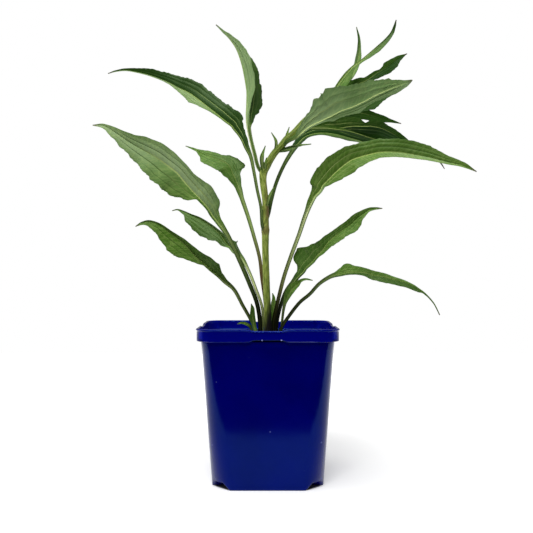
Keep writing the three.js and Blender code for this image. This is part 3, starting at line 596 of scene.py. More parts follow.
@dataclass(frozen=True)
class PlasticFinish(Finish):
    """Glossy blue moulded plastic, a little uneven, faintly dusted, with a few specks of soil.

    It has painted light on its rim and on the inside of its rim, a painted shadow in the skirt's
    notch, and a painted highlight in patches along the skirt's lower edge.

    Spans are where a change starts and ends, in metres: up from the ground where they are named
    height, and out from the pot's axis where they are named reach. Scales are clouds to the metre.
    """

    name: str = "blue_moulded_plastic"
    blue: Colour = paint(0, 0, 87)
    lighter: Colour = paint(0, 0, 98)
    painted_rim_light: Colour = paint(1, 3, 114)
    painted_inner_light: Colour = paint(2, 8, 148)
    shadow: Colour = paint(0, 0, 30)
    # A pale colour for the faint dusting and the specks, which also paints a highlight along the skirt's
    # lower edge.
    dust_and_highlight: Colour = paint(92, 98, 158)
    gloss: Colour = (0.072, 0.22, 0.5, 1.0)
    tone_scale: float = 22.0
    peel_scale: float = 240.0
    flow_scale: float = 40.0
    scuff_scale: float = 420.0
    speck_scale: float = 95.0
    speck_size: Span = (0.05, 0.085)
    rarity_scale: float = 31.0
    edge_highlight_scale: float = 26.0
    rim_height: Span = (0.11, 0.117)
    inner_height: Span = (0.117, 0.119)
    inner_reach: Span = (0.0536, 0.0544)
    notch_height: Span = (0.1157, 0.1162)
    notch_top_height: Span = (0.118, 0.1185)
    notch_reach: Span = (0.0515, 0.0518)
    skirt_reach: Span = (0.053, 0.0545)
    edge_height: float = 0.1163
    edge_size: float = 0.0004
    edge_reach: Span = (0.0545, 0.0548)

    def paint_on(self, graph: Graph) -> dict[str, Link | float | Colour]:
        """Returns the shader's inputs. See Finish."""
        place = graph.coordinates()
        tone = graph.clouds(place, self.tone_scale, 3.0)
        peel = graph.clouds(place, self.peel_scale, 2.0)
        flow = graph.clouds(place, self.flow_scale, 2.0, 0.6)
        scuffs = graph.clouds(place, self.scuff_scale, 4.0, 1.5)
        specks = 1 - graph.cells(place, self.speck_scale, "F1").ramp(*self.speck_size)
        specks = specks * graph.clouds(place, self.rarity_scale, 1.0).ramp(0.56, 0.6)
        height, out = graph.axis(place, "Z"), square_reach(graph, place)
        # Painted light on the inside of the rim.
        inside = height.ramp(*self.inner_height) * (1 - out.ramp(*self.inner_reach))
        # Painted shadow in the skirt's notch.
        notch = height.ramp(*self.notch_height) * (1 - height.ramp(*self.notch_top_height))
        notch = notch * out.ramp(*self.notch_reach) * (1 - out.ramp(*self.skirt_reach))
        # A painted highlight in patches along the skirt's lower edge.
        edge_highlight = 1 - (abs(height - self.edge_height) * (1 / self.edge_size)).ramp(0.4, 1.0)
        edge_highlight = edge_highlight * out.ramp(*self.edge_reach)
        edge_highlight = edge_highlight * graph.clouds(place, self.edge_highlight_scale, 2.0).ramp(0.5, 0.56)
        plastic = graph.layers(
            self.blue,
            (tone.ramp(0.3, 0.7), self.lighter),
            # Painted light: a lighter blue from the top of the body over the skirt and lip.
            (height.ramp(*self.rim_height), self.painted_rim_light),
            (inside, self.painted_inner_light),
            (notch, self.shadow),
            (edge_highlight * 0.8, self.dust_and_highlight),
            (scuffs.ramp(0.68, 0.8) * 0.12, self.dust_and_highlight),
            (specks * 0.7, self.dust_and_highlight),
        )
        return {
            "Base Color": plastic,
            "Roughness": 0.15 + scuffs.ramp(0.6, 0.85) * 0.12 + specks * 0.4,
            "Specular IOR Level": 0.5,
            "Specular Tint": self.gloss,
            "Normal": graph.bump(peel * 0.25 + flow, 0.12, 0.0009),
        }


@dataclass(frozen=True)
class FloorFinish(Finish):
    """A plain pale table top, lit from within, more so towards its far edges.

    It has a painted shadow and no glow where the pot stands: within side of the axis along X and along
    Y, and within corner along both together. All distances are in metres.
    """

    name: str = "pale_table"
    pale: Colour = grey(0.88)
    paler: Colour = grey(0.9)
    near_glow: Colour = grey(0.3)
    far_glow: Colour = grey(1.0)
    painted_shadow: Colour = grey(0.12)
    unlit: Colour = grey(0.0)
    near: float = 0.12
    far: float = 0.4
    side: float = 0.0445
    corner: float = 0.0755
    blur: float = 0.004

    def paint_on(self, graph: Graph) -> dict[str, Link | float | Colour]:
        """Returns the shader's inputs. See Finish."""
        place = graph.coordinates()
        x, y = (graph.axis(place, name) for name in "XY")
        away = ((x * x + y * y) ** 0.5).ramp(self.near, self.far)
        within = 1 - square_reach(graph, place).ramp(self.side - self.blur, self.side)
        # Painted shadow under the pot, with no glow there.
        shadow_under_pot = within * (1 - (abs(x) + abs(y)).ramp(self.corner - self.blur, self.corner))
        pale = graph.mix(graph.clouds(place, 3.0), self.pale, self.paler)
        glow = graph.mix(away, self.near_glow, self.far_glow)
        return {
            "Base Color": graph.mix(shadow_under_pot, pale, self.painted_shadow),
            "Roughness": 0.6,
            "Specular IOR Level": 0.2,
            "Emission Color": graph.mix(shadow_under_pot, glow, self.unlit),
            "Emission Strength": 1.0,
        }


UPPER_FACE = LeafFinish(
    "leaf_upper_face",
    dark=paint(76, 112, 37),
    light=paint(92, 130, 50),
    shade=paint(44, 74, 22),
    vein=paint(186, 206, 122),
    stalk=paint(140, 160, 94),
    stalk_edge=paint(72, 100, 36),
    roughness=0.42,
)
UNDER_FACE = LeafFinish(
    "leaf_under_face",
    dark=paint(112, 146, 84),
    light=paint(132, 164, 104),
    shade=paint(84, 118, 62),
    vein=paint(196, 214, 138),
    stalk=paint(104, 130, 62),
    stalk_edge=paint(78, 106, 42),
    roughness=0.55,
)
FACES = (UPPER_FACE, UNDER_FACE)
# Copies of the faces that hardly shine, for leaves that lie in shade: painted shade.
SHADED_FACES = tuple(replace(face, name=f"dull_{face.name}", shine=0.08) for face in FACES)
STEM_SKIN = StemFinish()
HAIR = HairFinish()
PEAT = GrainyFinish("peat_soil", paint(26, 19, 14), paint(74, 54, 38))
CRUMB = GrainyFinish("soil_crumb", paint(34, 24, 17), paint(96, 70, 48), 700.0)
BARK = GrainyFinish("bark_chip", paint(70, 46, 30), paint(134, 96, 64), 300.0)
PERLITE = GrainyFinish("perlite_grain", paint(196, 192, 182), paint(236, 233, 226), 900.0)
BLUE_PLASTIC = PlasticFinish()
# The tabs' pale plastic is a painted highlight.
TAB_HIGHLIGHT_PLASTIC = GrainyFinish("tab_highlight_plastic", paint(96, 104, 176), paint(170, 176, 226), 600.0)
TABLE_TOP = FloorFinish()


# ---------------------------------------- making meshes


def soften_edges(mesh: bmesh.types.BMesh, sharp_over: float) -> None:
    """Shades a mesh smoothly, apart from its sharp edges.

    Args:
        mesh: The mesh.
        sharp_over: The least angle of a sharp edge, in degrees.
    """
    for face in mesh.faces:
        face.smooth = True
    for edge in mesh.edges:
        edge.smooth = len(edge.link_faces) == 2 and edge.calc_face_angle(0.0) < math.radians(sharp_over)


def make_object(mesh: bmesh.types.BMesh, name: str, finishes: Sequence[Finish]) -> bpy.types.Object:
    """Turns a mesh into an object at the origin.

    Args:
        mesh: The mesh, which is used up.
        name: The object's name.
        finishes: Its finishes, in the order of the faces' material numbers.

    Returns:
        The object.
    """
    data = bpy.data.meshes.new(name)
    mesh.to_mesh(data)
    mesh.free()
    for finish in finishes:
        data.materials.append(finish.material())
    made = bpy.data.objects.new(name, data)
    bpy.context.collection.objects.link(made)
    return made


def make_piece(
    mesh: bmesh.types.BMesh,
    name: str,
    finishes: Sequence[Finish],
    replaced: Sequence[str] = (),
) -> bpy.types.Object:
    """Turns a mesh into a piece of the plant, which stands with the rest.

    Args:
        mesh: The mesh, which is used up.
        name: The piece's name.
        finishes: Its finishes, in the order of the faces' material numbers.
        replaced: The solids that it stands for.

    Returns:
        The piece.
    """
    return add_piece(make_object(mesh, name, finishes), replaced)


def add_piece(piece: bpy.types.Object, replaced: Sequence[str] = ()) -> bpy.types.Object:
    """Sets a piece on its body, and hides the solids that it replaces.

    Args:
        piece: The piece.
        replaced: The solids that it stands for.

    Returns:
        The piece.
    """
    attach(piece, BODY)
    if replaced:
        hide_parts(*replaced)
    LOG.info("%s: %d faces", piece.name, len(piece.data.polygons))
    return piece


@dataclass
class SkinPoint:
    """One point of a skin, in millimetres, with the numbers that its finish reads."""

    place: Vector
    across: float = 0.0
    along: float = 0.0
    vein: float = 0.0
    pale: float = 0.0
    stalk: float = 0.0
    rim: float = 0.0
    tip: float = 0.0
    # Painted sheen above 0, painted shade below 0.
    tone: float = 0.0
    flush: float = 0.0


class RolledSheet:
    """A sheet of quads that is rolled round a length into one closed skin."""

    NUMBERS = ("vein", "pale", "stalk", "rim", "tip", "tone", "flush")
    WELD = 1e-7
    UV_SPAN = 100.0

    def __init__(self, rings: Sequence[Sequence[SkinPoint]], warmth: float = 0.0) -> None:
        """Makes the flat sheet, then rolls it up.

        Args:
            rings: The rings along the length, all with the same number of points.
            warmth: How far the whole skin leans to a warmer colour.
        """
        self.mesh = bmesh.new()
        self.around = len(rings[0])
        last = len(rings) - 1
        layers = {name: self.mesh.verts.layers.float.new(name) for name in (*self.NUMBERS, "warmth")}
        flat = self.mesh.loops.layers.uv.new("surface")
        bmesh.ops.create_grid(self.mesh, x_segments=self.around, y_segments=last, size=1.0)
        points = {}
        for vert in self.mesh.verts:
            step = round((vert.co.x + 1) / 2 * self.around)
            ring = round((vert.co.y + 1) / 2 * last)
            points[vert] = step, rings[ring][step % self.around]
        for face in self.mesh.faces:
            face.material_index = min(points[vert][0] for vert in face.verts)
            for loop in face.loops:
                point = points[loop.vert][1]
                loop[flat].uv = (point.across / self.UV_SPAN, point.along / self.UV_SPAN)
        for vert, (_, point) in points.items():
            vert.co = point.place * MM
            vert[layers["warmth"]] = warmth
            for name in self.NUMBERS:
                vert[layers[name]] = getattr(point, name)

    def closed(
        self,
        sharp_over: float,
        material_of: Callable[[int], int] = lambda step: 0,
    ) -> bmesh.types.BMesh:
        """Joins the seam and closes both ends.

        Args:
            sharp_over: The least angle of a sharp edge, in degrees.
            material_of: Gives the material number of a step round the section.

        Returns:
            The closed mesh, with its faces pointing out.
        """
        for face in self.mesh.faces:
            face.material_index = material_of(face.material_index)
        bmesh.ops.remove_doubles(self.mesh, verts=self.mesh.verts, dist=self.WELD)
        rims = [edge for edge in self.mesh.edges if edge.is_boundary]
        bmesh.ops.holes_fill(self.mesh, edges=rims, sides=0)
        bmesh.ops.recalc_face_normals(self.mesh, faces=self.mesh.faces)
        soften_edges(self.mesh, sharp_over)
        return self.mesh


# ---------------------------------------- leaves


def rooted(*rows: Row) -> tuple[Row, ...]:
    """Returns the rows after one more, which lies straight below the first at the root's end."""
    x, y, _, *widths = rows[0]
    return ((x, y, ROOT_END, *widths), *rows)


@dataclass(frozen=True)
class LeafForm:
    """The form of one leaf, in millimetres.

    The rows are the midrib, each with the blade's half-widths on its left and right, or with one
    number for both. The upper face looks along face, and each half rises from the midrib by fold
    degrees; both lists are spread from the foot to the tip. The blade starts at row blade_at. A
    narrow leaf has no large teeth and fewer points across. Teeth says how deep the large teeth
    are, which come at every pitch, and saw how strong all teeth are on the left and right. Warmth
    says how yellow the leaf is, and midrib how pale its veins are. A leaf in shade takes the copies
    of the finishes that hardly shine, as painted shade. The painted shading of the left and the
    right half lays painted sheen (up to 1) or painted shade (down to -1) on it, spread from the
    blade's start to its tip. Petiole says the same of the petiole, whose sheen is a pale cream and
    painted highlight, spread from its foot to the blade, and flush how brown its lower half is.
    """

    name: str
    face: tuple[Triple, ...]
    fold: tuple[float, ...]
    blade_at: int
    rows: tuple[Row, ...]
    narrow: bool = False
    teeth: float = 1.0
    pitch: float = 11.5
    saw: Span = (0.5, 0.5)
    warmth: float = 0.0
    in_shade: bool = False
    midrib: float = 0.3
    painted_shading: tuple[tuple[float, ...], tuple[float, ...]] = ((0.0,), (0.0,))
    petiole: tuple[float, ...] = (-0.6, -0.2)
    flush: float = 0.0


@dataclass(frozen=True)
class Vein:
    """One of the long veins on each half of a blade, the midrib included.

    Spans are where a change starts and ends. Grows, fades, pale_fades and below_fades are shares of
    the blade's length, and room is the half-width that the vein needs, in millimetres. Pale and
    pale_below say how pale it is on the upper and the under face before it fades.
    """

    ALWAYS = (-1.0, 0.0)

    fades: Span
    grows: Span = ALWAYS
    room: Span = ALWAYS
    depth: float = 1.0
    pale: float = 1.0
    pale_fades: Span = (0.4, 0.8)
    pale_below: float = 1.0
    below_fades: Span = (0.2, 0.6)

    def depth_at(self, share: float, half_width: float) -> float:
        """Returns how far the vein is sunk, from 0 to 1, at a share of the blade's length."""
        grown = soft_ramp(share, *self.grows) * (1 - soft_ramp(share, *self.fades))
        return grown * ramp(half_width, *self.room) * self.depth

    def paleness_at(self, share: float) -> Span:
        """Returns how pale it is on the upper and the under face at a share of the length."""
        above = self.pale * (1 - soft_ramp(share, *self.pale_fades))
        below = self.pale_below * (1 - soft_ramp(share, *self.below_fades))
        return above, below


@dataclass(frozen=True)
class Column:
    """One long line of points on a half of a blade.

    Its place is a share of the half-width. It may follow a vein, which can be pale above and below,
    and it may be arched up from the flat blade by some millimetres.
    """

    out: float
    vein: float = 0.0
    pale: float = 0.0
    pale_below: float = 0.0
    arch: float = 0.0


@dataclass(frozen=True)
class Margin:
    """One side of a blade, 0 on the left and 1 on the right, with the sign of its direction.

    Start, peak and end say where each tooth starts, is longest and ends within its pitch.
    """

    half: int
    sign: int
    start: float
    peak: float
    end: float
    wave_phase: float

    @property
    def column(self) -> int:
        """The place of its half-width in a row."""
        return 3 + self.half


@dataclass
class Leaf:
    """One leaf as a closed skin, from the foot of its petiole to its tip.

    Lengths are millimetres. A room is the span of half-widths over which something grows to its
    full size. The stalk's side, groove and depth are shares of the petiole's half-width. Opens,
    greens and withers are spans of the blade's length, and flush_fades is one of the petiole's.
    """

    form: LeafForm
    seed: int
    thickness: float = 0.45
    edge: float = 0.18
    rib: float = 1.15
    rib_loss: float = 0.8
    side_rib: float = 0.3
    easing: float = 0.18
    wave: float = 1.1
    wave_length: float = 56.0
    wave_room: Span = (0, 14)
    ripple: float = 0.22
    ripple_length: float = 17.0
    ripple_room: Span = (3, 12)
    tooth_depth: float = 0.9
    tooth_least: float = 0.6
    tooth_more: float = 0.8
    tooth_bulge: float = 1.7
    tooth_room: Span = (2, 8)
    saw_depth: float = 0.7
    saw_pitch: float = 4.6
    saw_peak: float = 0.8
    petiole_step: float = 2.5
    blade_step: float = 1.0
    groove: float = 0.16
    arch: float = 0.17
    arch_room: Span = (3, 11)
    vein_places: Span = (0.42, 0.74)
    first_vein: Span = (0.16, 0.58)
    vein_gap: float = 0.14
    last_vein: float = 0.88
    stalk_side: float = 0.35
    stalk_groove: float = 0.3
    stalk_depth: float = 0.75
    stalk_roundness: float = 0.85
    opens: Span = (0.2, 0.4)
    greens: Span = (0.0, 0.12)
    withers: Span = (0.95, 1.0)
    flush_fades: Span = (0.45, 0.75)
    route: Route = field(init=False)

    MARGINS = (Margin(0, -1, 0.0, 0.8, 0.93, 1.0), Margin(1, 1, 0.64, 0.88, 1.0, 3.4))
    VEINS = (
        Vein(fades=(0.9, 1.0), below_fades=(0.7, 1.0)),
        Vein(
            grows=(0.0, 0.08),
            fades=(0.78, 0.97),
            room=(2, 5),
            pale=0.8,
            pale_fades=(0.15, 0.55),
            pale_below=0.6,
        ),
        Vein(
            grows=(0.03, 0.15),
            fades=(0.55, 0.85),
            room=(5, 9),
            depth=0.8,
            pale=0.4,
            pale_fades=(0.1, 0.4),
            pale_below=0.3,
        ),
    )
    ARCHES = {0.0: 0.0, 0.18: 0.55, 0.5: 1.0, 0.82: 0.55}
    NARROW_ARCHES = {0.0: 0.0, 0.5: 1.0}
    AVERAGED = (-14, -7, 0, 7, 14)

    def __post_init__(self) -> None:
        """Measures the midrib and draws the depth of each large tooth."""
        rows = [(*row, row[-1]) if len(row) == 4 else row for row in self.form.rows]
        self.route = Route(rows)
        self.blade_start = self.route.distance[self.form.blade_at]
        self.blade = self.route.length - self.blade_start
        self.petiole = rows[1][3]
        draws = Draws(self.seed)
        count = max(3, math.floor(self.blade / self.form.pitch + 0.5))
        depth = 0.0 if self.form.narrow else self.form.teeth
        least, more = self.tooth_least, self.tooth_more
        self.teeth = [depth * (least + more * draws.next()) for _ in range(count)]

    def stations(self) -> list[float]:
        """Places the rings along the leaf, further apart on the petiole.

        Returns:
            The distances.
        """
        petiole = max(2, round(self.blade_start / self.petiole_step))
        blade = max(8, round(self.blade / self.blade_step))
        stations = [self.blade_start * i / petiole for i in range(petiole)]
        return stations + [self.blade_start + self.blade * i / blade for i in range(blade + 1)]

    def tooth(self, s: float, margin: Margin) -> float:
        """Returns how far the teeth widen a half.

        Args:
            s: The distance from the foot.
            margin: The side.

        Returns:
            The widening in millimetres, of a large tooth and of the fine saw on it.
        """
        place = (s - self.blade_start) / self.blade * len(self.teeth) + (1 - margin.start) % 1
        if not 0 < place < len(self.teeth):
            return 0.0
        share = place % 1
        rise = min(1.0, share / margin.peak) ** self.tooth_bulge
        large = rise * (1 - ramp(share, margin.peak, margin.end))
        turn = (s / self.saw_pitch + margin.wave_phase) % 1
        fine = turn * (1 - ramp(turn, self.saw_peak, 1.0))
        widening = self.tooth_depth * self.teeth[int(place)] * large + self.saw_depth * fine
        return self.form.saw[margin.half] * widening

    def smooth_width(self, s: float, column: int) -> float:
        """Returns a half-width averaged over a stretch of the midrib.

        Args:
            s: The middle of the stretch.
            column: The half-width's place in the rows.

        Returns:
            The mean half-width.
        """
        places = [min(max(s + offset, 0.0), self.route.length) for offset in self.AVERAGED]
        return sum(self.route.at(place)[column] for place in places) / len(places)

    def columns(self, s: float, column: int, base: float, share: float) -> list[Column]:
        """Places the columns of one half so that its long veins run along them.

        Args:
            s: The distance from the foot.
            column: The half-width's place in the rows.
            base: The half-width there.
            share: The place within the blade, from 0 to 1.

        Returns:
            The columns, from the midrib out.
        """
        reach = self.smooth_width(s, column) / max(base, 0.5)
        near, far = (place * reach for place in self.vein_places)
        least, most = self.first_vein
        first = min(most, max(least, near))
        second = min(self.last_vein, max(first + self.vein_gap, far))
        anchors = (0.0, first, second, 1.0)
        height = self.arch * ramp(base, *self.arch_room)
        arches = self.NARROW_ARCHES if self.form.narrow else self.ARCHES
        found = []
        for vein, inner, outer in zip(self.VEINS, anchors, anchors[1:]):
            depth = vein.depth_at(share, base)
            pale, pale_below = (line * self.form.midrib for line in vein.paleness_at(share))
            for fraction, arch in arches.items():
                place = lerp(inner, outer, fraction)
                sunk = 0.0 if fraction else depth
                found.append(Column(place, sunk, pale, pale_below, arch * height))
        return [*found, Column(1.0)]

    def directions(self, s: float) -> tuple[Vector, Vector]:
        """Works out how the leaf lies at a station.

        Args:
            s: The distance from the foot.

        Returns:
            The directions out of the upper face and to the right.
        """
        along = self.route.direction(s)
        before, after, part = between(self.form.face, s / self.route.length)
        face = Vector(before).normalized().lerp(Vector(after).normalized(), part)
        face = (face - along * face.dot(along)).normalized()
        return face, along.cross(face)

    def waviness(self, s: float, margin: Margin, base: float) -> float:
        """Works out how far a long wave and ripples lift the margin.

        Args:
            s: The distance from the foot.
            margin: The side.
            base: The half-width there.

        Returns:
            The lift in millimetres.
        """
        turn = 2 * math.pi * s / self.wave_length + margin.wave_phase
        wave = self.wave * ramp(base, *self.wave_room) * math.sin(turn)
        turn = 2 * math.pi * s / self.ripple_length + self.seed + margin.column
        return wave + self.ripple * ramp(base, *self.ripple_room) * math.sin(turn)

    def stalk_section(self, out: float) -> Span:
        """Returns how far the petiole reaches above and below its middle line.

        Args:
            out: The place across, from 0 in the middle to 1 at the side.

        Returns:
            The heights of its grooved top and of its round underside.
        """
        round_off = math.sqrt(1 - self.stalk_roundness * out**2)
        above = self.stalk_side * round_off - self.stalk_groove * (1 - out**2) ** 2
        below = self.stalk_side + self.stalk_depth * round_off
        return self.petiole * above, self.petiole * below

    def half(self, s: float, margin: Margin) -> list[tuple[SkinPoint, SkinPoint]]:
        """Places the points of one half at a station.

        Args:
            s: The distance from the foot.
            margin: The side.

        Returns:
            Pairs of an upper and a lower point, from the midrib out.
        """
        row = self.route.at(s)
        base = row[margin.column]
        face, right = self.directions(s)
        outward = right * margin.sign
        fold = math.radians(lerp(*between(self.form.fold, s / self.route.length)))
        in_blade = ramp(s, self.blade_start, self.route.length)
        widened = ramp(base, self.petiole, 3 * self.petiole)
        spread = max(widened, ramp(in_blade, *self.opens))
        tooth = self.tooth(s, margin) * ramp(base, *self.tooth_room)
        wave = self.waviness(s, margin, base) * spread
        rib = self.rib * (1 - self.rib_loss * in_blade)
        # Painted sheen (above 0) or painted shade (below 0) for this half of the blade and for the
        # petiole.
        blade_shading = lerp(*between(self.form.painted_shading[margin.half], in_blade))
        petiole_share = s / self.blade_start
        petiole_shading = lerp(*between(self.form.petiole, min(1.0, petiole_share)))
        everywhere = {
            "along": s,
            "stalk": (1 - spread) * (1 - ramp(in_blade, *self.greens)),
            "tone": lerp(petiole_shading, blade_shading, spread),
            "flush": self.form.flush * (1 - ramp(petiole_share, *self.flush_fades)),
            "tip": soft_ramp(in_blade, *self.withers),
        }
        points = []
        for column in self.columns(s, margin.column, base, in_blade):
            out = column.out
            width = base * out + tooth * out**3
            rise = math.sin(fold) * width * (1 - self.easing * out) + wave * out**2
            place = Vector(row[:3]) + outward * (math.cos(fold) * width) + face * rise
            lift = column.arch - self.groove * column.vein
            ridge = column.vein * (self.side_rib if out else rib)
            skin = lerp(self.thickness, self.edge, out**4) / math.cos(fold)
            stalk_above, stalk_below = self.stalk_section(out)
            above = lerp(stalk_above, lift, spread)
            below = lerp(stalk_below, skin + ridge - lift, max(spread, in_blade))
            numbers = {"across": margin.sign * width, "vein": column.vein, "rim": out, **everywhere}
            points.append((
                SkinPoint(place + face * above, pale=column.pale, **numbers),
                SkinPoint(place - face * below, pale=column.pale_below, **numbers),
            ))
        return points

    def ring(self, s: float) -> list[SkinPoint]:
        """Returns the closed section at a station, the upper side first."""
        left, right = (self.half(s, margin) for margin in self.MARGINS)
        across = left[:0:-1] + right
        return [upper for upper, _ in across] + [lower for _, lower in reversed(across)]

    def build(self, slot: Slot, name: str, replaced: str) -> bpy.types.Object:
        """Makes the leaf.

        Args:
            slot: Not used.
            name: The piece's name.
            replaced: The solid that it stands for.

        Returns:
            The piece.
        """
        rings = [self.ring(s) for s in self.stations()]
        sheet = RolledSheet(rings, self.form.warmth)
        half = len(rings[0]) // 2
        mesh = sheet.closed(55, lambda step: 0 if step < half else 1)
        # A leaf in shade takes the copies that hardly shine, as painted shade.
        return make_piece(mesh, name, SHADED_FACES if self.form.in_shade else FACES, (replaced,))


